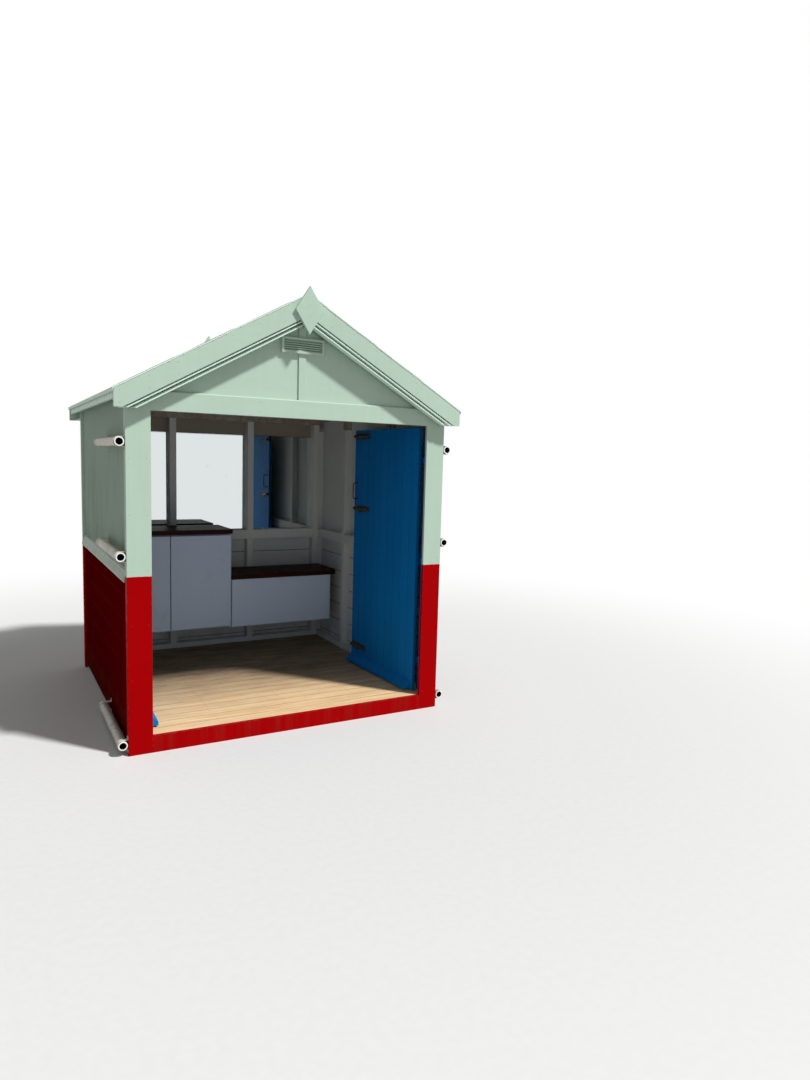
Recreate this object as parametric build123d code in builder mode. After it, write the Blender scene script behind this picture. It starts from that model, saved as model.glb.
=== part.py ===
from build123d import *
from math import cos, radians, sin, tan
import os

os.makedirs("parts", exist_ok=True)

# A timber beach hut of one room with a pitched roof, two inward doors, a cupboard and a bench.
# Millimetres, +Z up, the front faces -Y, the origin is the middle of the footprint on the ground.

# Driving dimensions of the whole hut
hut_width = 1950
hut_depth = 1950
roof_seat = 1984
roof_pitch = 29.5
door_head = 1856
header_height = 105
header_chamfer = 5
paint_line = 979

# Timber sections
trim_thickness = 18
cladding_thickness = 12
stud_width = 50
stud_depth = 50
post_depth = 50
side_stud_reach = 360
rear_stud_depth = 75
rear_stud_reach = 310
rear_stud_shift = -17
rail_height = 73
rail_top = 1030
sole_height = 38
joist_count = 5
joist_width = 47
joist_height = 76
floor_thickness = 20
floor_gap = 3
floor_board_count = 20
corner_width = 128
corner_side_width = 48

# Roof and gable trim
deck_thickness = 18
eaves_overhang = 65
gable_overhang = 58
cover_thickness = 3
cover_lap = 16
fascia_thickness = 18
fascia_setback = 8
fascia_drop = 50
tail_drop = 97
barge_depth = 105
barge_thickness = 20
barge_joint = 0.5
cornice_depth = 156
cornice_thickness = 30
bead_top = 112
bead_bottom = 126
batten_height = 11
batten_projection = 45
finial_width = 170
finial_height = 265
finial_drop = 93
finial_thickness = 18
ridge_board_width = 38
ridge_board_depth = 90
purlin_width = 50
purlin_depth = 75
vent_width = 260
vent_height = 88
vent_drop = 278
vent_depth = 22
vent_frame = 14
slat_count = 5
slat_thickness = 4
slat_tilt = 35
cover_strip_width = 44
cover_strip_thickness = 8

# Sill along the walls
sill_height = 68
sill_projection = 26
sill_nose = 16
sill_fillet = 12
sill_fillet_drop = 22

# Cladding boards below the sill
lap_board_count = 7
lap_groove = 6
cladding_ground_gap = 20
top_bead_height = 18
top_bead_projection = 7

# Tubes held by clips along the side walls, over the corner boards
pipe_radius = 25
pipe_bore = 20
pipe_length = 750
pipe_heights = {"low": 62, "middle": 1087, "high": 1690}
right_pipe_lift = 17
clip_width = 26
clip_thickness = 4
clip_inset = 12

# Doors, drawn standing open along the side walls, a little short of lying flat
rest_turn = 2
leaf_top_gap = 10
leaf_foot_gap = 10
leaf_board_thickness = 18
leaf_board_count = 9
leaf_meeting_gap = 10
ledge_thickness = 20
ledge_height = 110
ledge_inset = 209
ledge_end_gap = 20
pin_inset = 8
pin_radius = 3
pin_clearance = 0.3
knuckle_radius = 6
knuckle_length = 36
knuckle_gap = 0.5
knuckle_offset = 8
hinge_plate_width = 32
hinge_plate_thickness = 3
hinge_plate_gap = 2
strap_length = 300
strap_tip_height = 18
drip_height = 65
drip_nose = 22
drip_projection = 45
drip_end_gap = 8

# Bolts, pull handle and keeps on the meeting edges
bolt_heights = (235, 1270, 1800)
bolt_length = 210
bolt_radius = 8
bolt_plate_height = 44
bolt_plate_thickness = 3
bolt_plate_chamfer = 5
bolt_edge_gap = 12
bolt_lift = 2
guide_play = 1.5
guide_wall = 3
guide_width = 18
guide_inset = 6
keep_length = 60
lug_place = 118
lug_width = 14
lug_drop = 34
lug_thickness = 5
lug_hole = 4
handle_height = 120
handle_centre = 1400
handle_reach = 38
handle_radius = 5
handle_sides = 8
handle_edge_gap = 45

# Furniture on the rear wall
unit_depth = 395
cupboard_width = 919
cupboard_foot = 323
worktop_top = 1078
top_thickness = 35
top_overhang = 12
panel_thickness = 15
door_panel_thickness = 18
unit_gap = 6
pivot_radius = 3
pivot_bite = 14
pivot_bracket = 4
bench_foot = 320
bench_top = 725
bench_end_gap = 52
bench_corner = 40
mirror_thickness = 6
mirror_top = 1806

# Lines and planes that follow from them
slope = tan(radians(roof_pitch))
rise = cos(radians(roof_pitch))
half_width = hut_width / 2
half_depth = hut_depth / 2
clad_x = half_width - trim_thickness
clad_y = half_depth - trim_thickness
stud_x = clad_x - cladding_thickness
stud_y = clad_y - cladding_thickness
inner_x = stud_x - stud_depth
rear_y = stud_y - rear_stud_depth
apex = roof_seat + clad_x * slope + deck_thickness / rise
eave_x = half_width + eaves_overhang
deck_end = half_depth + gable_overhang
floor_top = joist_height + floor_thickness
header_top = door_head + header_height
opening_x = half_width - corner_width
rail_bottom = rail_top - rail_height
sole_top = floor_top + sole_height


def roof_top(x):
    """Height of the roof's upper surface at a distance x from the ridge."""
    return apex - abs(x) * slope


def roof_under(x):
    """Height of the underside of the roof boards at a distance x from the ridge."""
    return roof_top(x) - deck_thickness / rise


# Hinge pins stand on the room's side of the door posts. Closed, the leaves lie behind the corner boards.
leaf_thickness = leaf_board_thickness + ledge_thickness
leaf_foot = floor_top + leaf_foot_gap
leaf_head = door_head - leaf_top_gap
post_rear = post_depth - clad_y
pin_x = inner_x - pin_inset
pin_y = post_rear + knuckle_offset
leaf_back_x = pin_x - knuckle_offset
leaf_face_x = leaf_back_x - leaf_thickness
leaf_start = pin_y + knuckle_offset
leaf_width = leaf_back_x - leaf_meeting_gap / 2
leaf_end = leaf_start + leaf_width
leaf_height = leaf_head - leaf_foot
ledge_heights = (leaf_foot + ledge_inset, (leaf_foot + leaf_head) / 2, leaf_head - ledge_inset)


def stand_off(shape, side):
    """A piece of a leaf, turned about its pins from flat along the wall to where the leaf stands."""
    return shape.rotate(Axis((side * pin_x, pin_y, 0), (0, 0, 1)), side * rest_turn)


# Floor joists run front to back and carry the boards and the walls
floor_depth = clad_y + stud_y
floor_middle = (stud_y - clad_y) / 2
with BuildPart() as floor_joists:
    joist_pitch = (2 * stud_x - joist_width) / (joist_count - 1)
    with BuildSketch(Plane(origin=(0, floor_middle, 0))):
        with GridLocations(joist_pitch, 1, joist_count, 1):
            Rectangle(joist_width, floor_depth)
    extrude(amount=joist_height)
floor_joists.part.label = "floor_joists"
export_step(floor_joists.part, "parts/floor_joists.step")

# Floor boards run from side to side with an open joint between them
with BuildPart() as floor_boards:
    floor_pitch = (floor_depth + floor_gap) / floor_board_count
    with BuildSketch(Plane(origin=(0, floor_middle, joist_height))):
        with GridLocations(1, floor_pitch, 1, floor_board_count):
            Rectangle(2 * stud_x, floor_pitch - floor_gap)
    extrude(amount=floor_thickness)
floor_boards.part.label = "floor_boards"
export_step(floor_boards.part, "parts/floor_boards.step")

# Threshold board across the joist ends, under the doors
with BuildPart() as threshold:
    with BuildSketch(Plane.XY):
        with Locations((0, -half_depth + trim_thickness / 2)):
            Rectangle(2 * opening_x, trim_thickness)
    extrude(amount=floor_top)
threshold.part.label = "threshold"
export_step(threshold.part, "parts/threshold.step")

# Side wall frames: full-height studs, with a sole, a bevelled plate and rails cut between the studs
frame_front = post_rear
side_stud_ys = (frame_front + stud_width / 2, -side_stud_reach, side_stud_reach, stud_y - stud_width / 2)
stud_mid_x = (inner_x + stud_x) / 2
plate_bottom = roof_under(stud_x) - stud_width
with BuildPart() as side_wall_studs:
    with BuildSketch(Plane.XY.offset(sole_top)):
        with Locations([(side * stud_mid_x, y) for side in (-1, 1) for y in side_stud_ys]):
            Rectangle(stud_depth, stud_width)
    extrude(amount=plate_bottom - sole_top)
side_wall_studs.part.label = "side_wall_studs"
export_step(side_wall_studs.part, "parts/side_wall_studs.step")

with BuildPart() as side_wall_rails:
    with BuildSketch(Plane.XZ.offset(-frame_front)):
        for side in (-1, 1):
            with Locations((side * stud_mid_x, (floor_top + sole_top) / 2)):
                Rectangle(stud_depth, sole_height)
            with BuildLine():
                Polyline(
                    (side * inner_x, roof_under(inner_x)),
                    (side * stud_x, roof_under(stud_x)),
                    (side * stud_x, plate_bottom),
                    (side * inner_x, plate_bottom),
                    close=True,
                )
            make_face()
    extrude(amount=-(stud_y - frame_front))
    with BuildSketch(Plane.XY.offset(rail_bottom)):
        for low_y, high_y in zip(side_stud_ys, side_stud_ys[1:]):
            for side in (-1, 1):
                with Locations((side * stud_mid_x, (low_y + high_y) / 2)):
                    Rectangle(stud_depth, high_y - low_y - stud_width)
    extrude(amount=rail_height)
side_wall_rails.part.label = "side_wall_rails"
export_step(side_wall_rails.part, "parts/side_wall_rails.step")

# Rear wall frame between the side frames, on the same levels
rear_stud_xs = (
    stud_width / 2 - inner_x,
    rear_stud_shift - rear_stud_reach,
    rear_stud_shift + rear_stud_reach,
    inner_x - stud_width / 2,
)
rear_plate_bottom = header_top - stud_width
rear_mid_y = (rear_y + stud_y) / 2
with BuildPart() as rear_wall_studs:
    with BuildSketch(Plane.XY.offset(sole_top)):
        with Locations([(x, rear_mid_y) for x in rear_stud_xs]):
            Rectangle(stud_width, rear_stud_depth)
    extrude(amount=rear_plate_bottom - sole_top)
rear_wall_studs.part.label = "rear_wall_studs"
export_step(rear_wall_studs.part, "parts/rear_wall_studs.step")

with BuildPart() as rear_wall_rails:
    with BuildSketch(Plane.XZ.offset(-rear_y)):
        for low, high in ((floor_top, sole_top), (rear_plate_bottom, header_top)):
            with Locations((0, (low + high) / 2)):
                Rectangle(2 * inner_x, high - low)
        for low_x, high_x in zip(rear_stud_xs, rear_stud_xs[1:]):
            with Locations(((low_x + high_x) / 2, (rail_bottom + rail_top) / 2)):
                Rectangle(high_x - low_x - stud_width, rail_height)
    extrude(amount=-rear_stud_depth)
rear_wall_rails.part.label = "rear_wall_rails"
export_step(rear_wall_rails.part, "parts/rear_wall_rails.step")

# Door posts behind the front corner boards, and the lintel between them
post_mid_y = (post_rear - clad_y) / 2
for side, name in ((-1, "left_door_post"), (1, "right_door_post")):
    with BuildPart() as post:
        with BuildSketch(Plane.XY.offset(floor_top)):
            with Locations((side * stud_mid_x, post_mid_y)):
                Rectangle(stud_depth, post_depth)
        extrude(amount=header_top - floor_top)
    post.part.label = name
    export_step(post.part, f"parts/{name}.step")

with BuildPart() as door_lintel:
    with BuildSketch(Plane.XY.offset(door_head)):
        with Locations((0, post_mid_y)):
            Rectangle(2 * inner_x, post_depth)
    extrude(amount=header_height)
door_lintel.part.label = "door_lintel"
export_step(door_lintel.part, "parts/door_lintel.step")

# Smooth upper panels, and lower panels of boards with V joints on both faces, on the side walls
side_trim_reach = half_depth - corner_side_width
boards_height = paint_line - cladding_ground_gap
board_pitch = boards_height / lap_board_count
groove_heights = [cladding_ground_gap + board_pitch * k for k in range(1, lap_board_count)]
sill_bottom = paint_line - sill_height / 2
sill_top = paint_line + sill_height / 2
top_bead = (
    (0, sill_bottom),
    (top_bead_projection, sill_bottom),
    (0, sill_bottom - top_bead_height),
)
for side, word in ((-1, "left"), (1, "right")):
    wall_x = side * (stud_x + clad_x) / 2
    with BuildPart() as upper_panel:
        with BuildSketch(Plane.XY.offset(paint_line)):
            with Locations((wall_x, 0)):
                Rectangle(cladding_thickness, 2 * clad_y)
        extrude(amount=roof_under(clad_x) - paint_line)
    upper_panel.part.label = f"{word}_upper_panel"
    export_step(upper_panel.part, f"parts/{word}_upper_panel.step")
    with BuildPart() as lower_boards:
        with BuildSketch(Plane.XZ.offset(-clad_y)):
            with Locations((wall_x, (cladding_ground_gap + paint_line) / 2)):
                Rectangle(cladding_thickness, boards_height)
            with Locations([(side * face_x, z) for face_x in (stud_x, clad_x) for z in groove_heights]):
                Rectangle(lap_groove, lap_groove, rotation=45, mode=Mode.SUBTRACT)
        extrude(amount=2 * clad_y)
        with BuildSketch(Plane.XZ.offset(-side_trim_reach)):
            with BuildLine():
                Polyline(*[(side * (clad_x + out), z) for out, z in top_bead], close=True)
            make_face()
        extrude(amount=2 * side_trim_reach)
    lower_boards.part.label = f"{word}_lower_boards"
    export_step(lower_boards.part, f"parts/{word}_lower_boards.step")

# The rear wall has the same two bands between the side panels
with BuildPart() as rear_upper_panel:
    with BuildSketch(Plane.XY.offset(paint_line)):
        with Locations((0, (stud_y + clad_y) / 2)):
            Rectangle(2 * stud_x, cladding_thickness)
    extrude(amount=header_top - paint_line)
rear_upper_panel.part.label = "rear_upper_panel"
export_step(rear_upper_panel.part, "parts/rear_upper_panel.step")

with BuildPart() as rear_lower_boards:
    with BuildSketch(Plane.YZ.offset(-stud_x)):
        with Locations(((stud_y + clad_y) / 2, (cladding_ground_gap + paint_line) / 2)):
            Rectangle(cladding_thickness, boards_height)
        with Locations([(face_y, z) for face_y in (stud_y, clad_y) for z in groove_heights]):
            Rectangle(lap_groove, lap_groove, rotation=45, mode=Mode.SUBTRACT)
    extrude(amount=2 * stud_x)
    with BuildSketch(Plane.YZ.offset(-opening_x)):
        with BuildLine():
            Polyline(*[(clad_y + out, z) for out, z in top_bead], close=True)
        make_face()
    extrude(amount=2 * opening_x)
rear_lower_boards.part.label = "rear_lower_boards"
export_step(rear_lower_boards.part, "parts/rear_lower_boards.step")

# Corner boards: a wide face board with a narrow board returned along the side wall
for end, end_name in ((-1, "front"), (1, "rear")):
    for side, side_name in ((-1, "left"), (1, "right")):
        name = f"{end_name}_{side_name}_corner_board"
        with BuildPart() as corner_board:
            with BuildSketch(Plane.XY):
                with BuildLine():
                    Polyline(
                        (side * opening_x, end * half_depth),
                        (side * half_width, end * half_depth),
                        (side * half_width, end * (half_depth - corner_side_width)),
                        (side * clad_x, end * (half_depth - corner_side_width)),
                        (side * clad_x, end * clad_y),
                        (side * opening_x, end * clad_y),
                        close=True,
                    )
                make_face()
            extrude(amount=header_top)
        corner_board.part.label = name
        export_step(corner_board.part, f"parts/{name}.step")

# Header boards between the corner boards, front and rear
with BuildPart() as header_boards:
    with BuildSketch(Plane.XY.offset(door_head)):
        for end in (-1, 1):
            with Locations((0, end * (clad_y + half_depth) / 2)):
                Rectangle(2 * opening_x, trim_thickness)
    extrude(amount=header_height)
    top_edges = header_boards.edges().filter_by(Axis.X).group_by(Axis.Z)[-1].sort_by(Axis.Y)
    chamfer([top_edges[0], top_edges[-1]], length=header_chamfer)
header_boards.part.label = "header_boards"
export_step(header_boards.part, "parts/header_boards.step")

# Sills cover the joint between panels and boards on three walls: a sloped nosing under a fillet
sill_profile = (
    (0, sill_bottom),
    (sill_projection, sill_bottom),
    (sill_projection, sill_bottom + sill_nose),
    (sill_fillet, sill_top - sill_fillet_drop),
    (sill_fillet, sill_top - sill_fillet),
    (0, sill_top),
)
with BuildPart() as wall_sills:
    for side in (-1, 1):
        with BuildSketch(Plane.XZ.offset(-side_trim_reach)):
            with BuildLine():
                Polyline(*[(side * (clad_x + out), z) for out, z in sill_profile], close=True)
            make_face()
        extrude(amount=2 * side_trim_reach)
    with BuildSketch(Plane.YZ.offset(-opening_x)):
        with BuildLine():
            Polyline(*[(clad_y + out, z) for out, z in sill_profile], close=True)
        make_face()
    extrude(amount=2 * opening_x)
wall_sills.part.label = "wall_sills"
export_step(wall_sills.part, "parts/wall_sills.step")

# Gable panels, each with a cover strip down the middle, broken by the vent
strip_top = roof_top(cover_strip_width / 2) - cornice_depth
vent_centre = apex - vent_drop
vent_low = vent_centre - vent_height / 2
vent_high = vent_centre + vent_height / 2
for end, name in ((-1, "front_gable"), (1, "rear_gable")):
    with BuildPart() as gable:
        with BuildSketch(Plane.XZ.offset(-end * clad_y)):
            with BuildLine():
                Polyline(
                    (-stud_x, header_top),
                    (stud_x, header_top),
                    (stud_x, roof_under(stud_x)),
                    (0, roof_under(0)),
                    (-stud_x, roof_under(stud_x)),
                    close=True,
                )
            make_face()
        extrude(amount=end * cladding_thickness)
        with BuildSketch(Plane.XZ.offset(-end * clad_y)):
            for low, high in ((header_top, vent_low), (vent_high, strip_top)):
                with Locations((0, (low + high) / 2)):
                    Rectangle(cover_strip_width, high - low)
        extrude(amount=-end * cover_strip_thickness)
    gable.part.label = name
    export_step(gable.part, f"parts/{name}.step")

# Louvre vents near the top of both gables
with BuildPart() as louvre_vents:
    for end in (-1, 1):
        with BuildSketch(Plane.XZ.offset(-end * clad_y)):
            with Locations((0, vent_centre)):
                Rectangle(vent_width, vent_height)
                Rectangle(vent_width - 2 * vent_frame, vent_height - 2 * vent_frame, mode=Mode.SUBTRACT)
        extrude(amount=-end * vent_depth)
        slat_pitch = (vent_height - 2 * vent_frame) / slat_count
        slat_x = vent_width / 2 - vent_frame
        with BuildSketch(Plane.YZ.offset(-slat_x)):
            with Locations((end * (clad_y + vent_depth / 2), vent_centre)):
                with GridLocations(1, slat_pitch, 1, slat_count):
                    Rectangle(vent_depth, slat_thickness, rotation=-end * slat_tilt)
        extrude(amount=2 * slat_x)
louvre_vents.part.label = "louvre_vents"
export_step(louvre_vents.part, "parts/louvre_vents.step")

# Roof slopes: boards with a covering that is turned down over their lower edges
cover_x = eave_x + cover_thickness
for side, name in ((-1, "left_roof_slope"), (1, "right_roof_slope")):
    with BuildPart() as roof_slope:
        with BuildSketch(Plane.XZ.offset(-deck_end)):
            with BuildLine():
                Polyline(
                    (0, roof_top(0)),
                    (side * cover_x, roof_top(cover_x)),
                    (side * cover_x, roof_top(cover_x) - cover_lap),
                    (side * eave_x, roof_top(cover_x) - cover_lap),
                    (side * eave_x, roof_under(eave_x)),
                    (0, roof_under(0)),
                    close=True,
                )
            make_face()
        extrude(amount=2 * deck_end)
    roof_slope.part.label = name
    export_step(roof_slope.part, f"parts/{name}.step")

# Rafters behind both gables, cut to the ridge board and seated on the wall plates
rafter_depth = stud_width / rise
ridge_side = ridge_board_width / 2
with BuildPart() as gable_rafters:
    with BuildSketch(Plane.XZ.offset(-stud_y)):
        for side in (-1, 1):
            with BuildLine():
                Polyline(
                    (side * ridge_side, roof_under(ridge_side)),
                    (side * inner_x, roof_under(inner_x)),
                    (side * inner_x, roof_under(inner_x) - rafter_depth),
                    (side * ridge_side, roof_under(ridge_side) - rafter_depth),
                    close=True,
                )
            make_face()
    extrude(amount=stud_width)
    mirror(about=Plane.XZ)
gable_rafters.part.label = "gable_rafters"
export_step(gable_rafters.part, "parts/gable_rafters.step")

# Ridge board from gable to gable, and a purlin under each slope between the rafters
with BuildPart() as ridge_and_purlins:
    with BuildSketch(Plane.XZ.offset(-stud_y)):
        with BuildLine():
            Polyline(
                (0, roof_under(0)),
                (ridge_side, roof_under(ridge_side)),
                (ridge_side, roof_under(0) - ridge_board_depth),
                (-ridge_side, roof_under(0) - ridge_board_depth),
                (-ridge_side, roof_under(ridge_side)),
                close=True,
            )
        make_face()
    extrude(amount=2 * stud_y)
    with BuildSketch(Plane.XZ.offset(-(stud_y - stud_width))):
        half_run = purlin_width * rise / 2
        drop_x = purlin_depth * sin(radians(roof_pitch))
        drop_z = purlin_depth * rise
        for side in (-1, 1):
            high_x = inner_x / 2 - half_run
            low_x = inner_x / 2 + half_run
            with BuildLine():
                Polyline(
                    (side * high_x, roof_under(high_x)),
                    (side * low_x, roof_under(low_x)),
                    (side * (low_x - drop_x), roof_under(low_x) - drop_z),
                    (side * (high_x - drop_x), roof_under(high_x) - drop_z),
                    close=True,
                )
            make_face()
    extrude(amount=2 * (stud_y - stud_width))
ridge_and_purlins.part.label = "ridge_and_purlins"
export_step(ridge_and_purlins.part, "parts/ridge_and_purlins.step")

# Narrow eaves boards under both slopes, set back from the roof's edge between the barge boards
fascia_outer_x = eave_x - fascia_setback
fascia_inner_x = fascia_outer_x - fascia_thickness
fascia_foot = roof_top(eave_x) - fascia_drop
with BuildPart() as eaves_boards:
    with BuildSketch(Plane.XZ.offset(-deck_end)):
        for side in (-1, 1):
            with BuildLine():
                Polyline(
                    (side * fascia_outer_x, roof_under(fascia_outer_x)),
                    (side * fascia_outer_x, fascia_foot),
                    (side * fascia_inner_x, fascia_foot),
                    (side * fascia_inner_x, roof_under(fascia_inner_x)),
                    close=True,
                )
            make_face()
    extrude(amount=2 * deck_end)
eaves_boards.part.label = "eaves_boards"
export_step(eaves_boards.part, "parts/eaves_boards.step")

# Barge boards close the ends of the roof; each tail has a level cut and a plumb cut
tail_height = roof_top(eave_x) - tail_drop
barge_drop = barge_depth / rise
tail_x = (apex - barge_drop - tail_height) / slope
with BuildPart() as barge_boards:
    with BuildSketch(Plane.XZ.offset(deck_end)):
        for side in (-1, 1):
            with BuildLine():
                Polyline(
                    (side * barge_joint, roof_top(barge_joint)),
                    (side * eave_x, roof_top(eave_x)),
                    (side * eave_x, tail_height),
                    (side * tail_x, tail_height),
                    (side * barge_joint, roof_top(barge_joint) - barge_drop),
                    close=True,
                )
            make_face()
    extrude(amount=barge_thickness)
    mirror(about=Plane.XZ)
barge_boards.part.label = "barge_boards"
export_step(barge_boards.part, "parts/barge_boards.step")

# Raking mouldings fill the roof's overhang: a packer on the gable, a face board, a bead and a batten
cornice_x = (apex - cornice_depth - header_top) / slope
batten_top = cornice_depth - batten_height
with BuildPart() as gable_mouldings:
    with BuildSketch(Plane.XZ.offset(clad_y)):
        for side in (-1, 1):
            with BuildLine():
                Polyline(
                    (side * barge_joint, roof_under(barge_joint)),
                    (side * clad_x, roof_under(clad_x)),
                    (side * clad_x, header_top),
                    (side * cornice_x, header_top),
                    (side * barge_joint, roof_top(barge_joint) - cornice_depth),
                    close=True,
                )
            make_face()
    extrude(amount=trim_thickness)
    with BuildSketch(Plane.XZ.offset(half_depth)):
        for side in (-1, 1):
            with BuildLine():
                Polyline(
                    (side * barge_joint, roof_under(barge_joint)),
                    (side * half_width, roof_under(half_width)),
                    (side * half_width, tail_height),
                    (side * (apex - cornice_depth - tail_height) / slope, tail_height),
                    (side * barge_joint, roof_top(barge_joint) - cornice_depth),
                    close=True,
                )
            make_face()
    extrude(amount=cornice_thickness)
    for high, low, reach in (
        (bead_top, bead_bottom, gable_overhang),
        (batten_top, cornice_depth, batten_projection),
    ):
        with BuildSketch(Plane.XZ.offset(half_depth)):
            for side in (-1, 1):
                with BuildLine():
                    Polyline(
                        (side * barge_joint, roof_top(barge_joint) - high),
                        (side * (apex - high - tail_height) / slope, tail_height),
                        (side * (apex - low - tail_height) / slope, tail_height),
                        (side * barge_joint, roof_top(barge_joint) - low),
                        close=True,
                    )
                make_face()
        extrude(amount=reach)
    mirror(about=Plane.XZ)
gable_mouldings.part.label = "gable_mouldings"
export_step(gable_mouldings.part, "parts/gable_mouldings.step")

# Diamond finials over the joints of the barge boards
finial_centre = apex - finial_drop
with BuildPart() as gable_finials:
    with BuildSketch(Plane.XZ.offset(deck_end + barge_thickness)):
        with BuildLine():
            Polyline(
                (0, finial_centre + finial_height / 2),
                (finial_width / 2, finial_centre),
                (0, finial_centre - finial_height / 2),
                (-finial_width / 2, finial_centre),
                close=True,
            )
        make_face()
    extrude(amount=finial_thickness)
    mirror(about=Plane.XZ)
gable_finials.part.label = "gable_finials"
export_step(gable_finials.part, "parts/gable_finials.step")

# Open tubes level along both side walls, with a clip on the corner board and one on the cladding
pipe_x = half_width + clip_thickness + pipe_radius
clip_radius = pipe_radius + clip_thickness
front_clip_y = clip_inset - half_depth
rear_clip_y = pipe_length - half_depth - clip_inset - clip_width
for level, height in pipe_heights.items():
    with BuildPart() as pipes:
        centres = ((-1, height), (1, height + right_pipe_lift))
        with BuildSketch(Plane.XZ.offset(half_depth)):
            with Locations([(side * pipe_x, z) for side, z in centres]):
                Circle(pipe_radius)
                Circle(pipe_bore, mode=Mode.SUBTRACT)
        extrude(amount=-pipe_length)
        for clip_y, seat_x in ((front_clip_y, half_width), (rear_clip_y, clad_x)):
            with BuildSketch(Plane.XZ.offset(-clip_y)):
                for side, z in centres:
                    with BuildLine():
                        Polyline(
                            (side * seat_x, z - clip_radius),
                            (side * pipe_x, z - clip_radius),
                            (side * (pipe_x + clip_radius), z - clip_radius / 2),
                            (side * (pipe_x + clip_radius), z + clip_radius / 2),
                            (side * pipe_x, z + clip_radius),
                            (side * seat_x, z + clip_radius),
                            close=True,
                        )
                    make_face()
                    with Locations((side * pipe_x, z)):
                        Circle(pipe_radius, mode=Mode.SUBTRACT)
            extrude(amount=-clip_width)
    pipes.part.label = f"{level}_pipes"
    export_step(pipes.part, f"parts/{level}_pipes.step")

# Door leaves: grooved boards on three ledges with braces between them
board_width = leaf_width / leaf_board_count
for side, name in ((-1, "left_door_leaf"), (1, "right_door_leaf")):
    with BuildPart() as leaf:
        leaf_y = (leaf_start + leaf_end) / 2
        with BuildSketch(Plane.XY.offset(leaf_foot)):
            with Locations((side * (leaf_face_x + leaf_board_thickness / 2), leaf_y)):
                Rectangle(leaf_board_thickness, leaf_width)
            with Locations((side * leaf_face_x, leaf_y)):
                with GridLocations(1, board_width, 1, leaf_board_count - 1):
                    Rectangle(lap_groove, lap_groove, rotation=45, mode=Mode.SUBTRACT)
        extrude(amount=leaf_height)
        with BuildSketch(Plane.YZ.offset(side * (leaf_face_x + leaf_board_thickness))):
            with Locations([(leaf_y, z) for z in ledge_heights]):
                Rectangle(leaf_width - 2 * ledge_end_gap, ledge_height)
            for low, high in zip(ledge_heights, ledge_heights[1:]):
                foot_y = leaf_start + ledge_end_gap
                head_y = leaf_end - ledge_end_gap
                with BuildLine():
                    Polyline(
                        (foot_y, low + ledge_height / 2),
                        (foot_y + ledge_height, low + ledge_height / 2),
                        (head_y, high - ledge_height / 2),
                        (head_y - ledge_height, high - ledge_height / 2),
                        close=True,
                    )
                make_face()
        extrude(amount=side * ledge_thickness)
    leaf.part = stand_off(leaf.part, side)
    leaf.part.label = name
    export_step(leaf.part, f"parts/{name}.step")

# Weatherboards with a sloped top across the foot of each leaf: they close between the corner boards
drip_start = leaf_start + leaf_back_x - opening_x + drip_end_gap
drip_end = leaf_end - drip_end_gap
for side, name in ((-1, "left_door_drip"), (1, "right_door_drip")):
    with BuildPart() as drip:
        with BuildSketch(Plane.XZ.offset(-drip_start)):
            with BuildLine():
                Polyline(
                    (side * leaf_face_x, leaf_foot),
                    (side * (leaf_face_x - drip_projection), leaf_foot),
                    (side * (leaf_face_x - drip_projection), leaf_foot + drip_nose),
                    (side * leaf_face_x, leaf_foot + drip_height),
                    close=True,
                )
            make_face()
        extrude(amount=drip_start - drip_end)
    drip.part = stand_off(drip.part, side)
    drip.part.label = name
    export_step(drip.part, f"parts/{name}.step")

# Strap hinges: the eye of each tapered strap drops over a pin that stands on a plate on the first stud
for side, name in ((-1, "left_door_straps"), (1, "right_door_straps")):
    with BuildPart() as straps:
        with BuildSketch(Plane.YZ.offset(side * leaf_back_x)):
            for z in ledge_heights:
                with BuildLine():
                    Polyline(
                        (pin_y, z - knuckle_length / 2),
                        (pin_y, z + knuckle_length / 2),
                        (pin_y + strap_length, z + strap_tip_height / 2),
                        (pin_y + strap_length, z - strap_tip_height / 2),
                        close=True,
                    )
                make_face()
        extrude(amount=side * hinge_plate_thickness)
        for z in ledge_heights:
            with BuildSketch(Plane.XY.offset(z - knuckle_length / 2)):
                with Locations((side * pin_x, pin_y)):
                    Circle(knuckle_radius)
            extrude(amount=knuckle_length)
            with BuildSketch(Plane.XY.offset(z - knuckle_length)):
                with Locations((side * pin_x, pin_y)):
                    Circle(pin_radius + pin_clearance)
            extrude(amount=2 * knuckle_length, mode=Mode.SUBTRACT)
    straps.part = stand_off(straps.part, side)
    straps.part.label = name
    export_step(straps.part, f"parts/{name}.step")

plate_edge = pin_y + knuckle_radius + hinge_plate_gap
with BuildPart() as hinge_plates:
    for side in (-1, 1):
        for z in ledge_heights:
            hook_top = z - knuckle_length / 2 - knuckle_gap
            hook_foot = hook_top - knuckle_length
            pin_top = z + knuckle_length / 2 + pin_radius
            with BuildSketch(Plane.YZ.offset(side * inner_x)):
                with Locations((plate_edge + hinge_plate_width / 2, (hook_foot + pin_top) / 2)):
                    Rectangle(hinge_plate_width, pin_top - hook_foot)
                with Locations(((pin_y + plate_edge) / 2, (hook_foot + hook_top) / 2)):
                    Rectangle(plate_edge - pin_y, knuckle_length)
            extrude(amount=-side * hinge_plate_thickness)
            with BuildSketch(Plane.XY.offset(hook_foot)):
                with Locations((side * pin_x, pin_y)):
                    Circle(knuckle_radius)
            extrude(amount=knuckle_length)
            with BuildSketch(Plane.XY.offset(hook_foot)):
                with Locations((side * pin_x, pin_y)):
                    Circle(pin_radius)
            extrude(amount=pin_top - hook_foot)
hinge_plates.part.label = "hinge_plates"
export_step(hinge_plates.part, "parts/hinge_plates.step")

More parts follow.
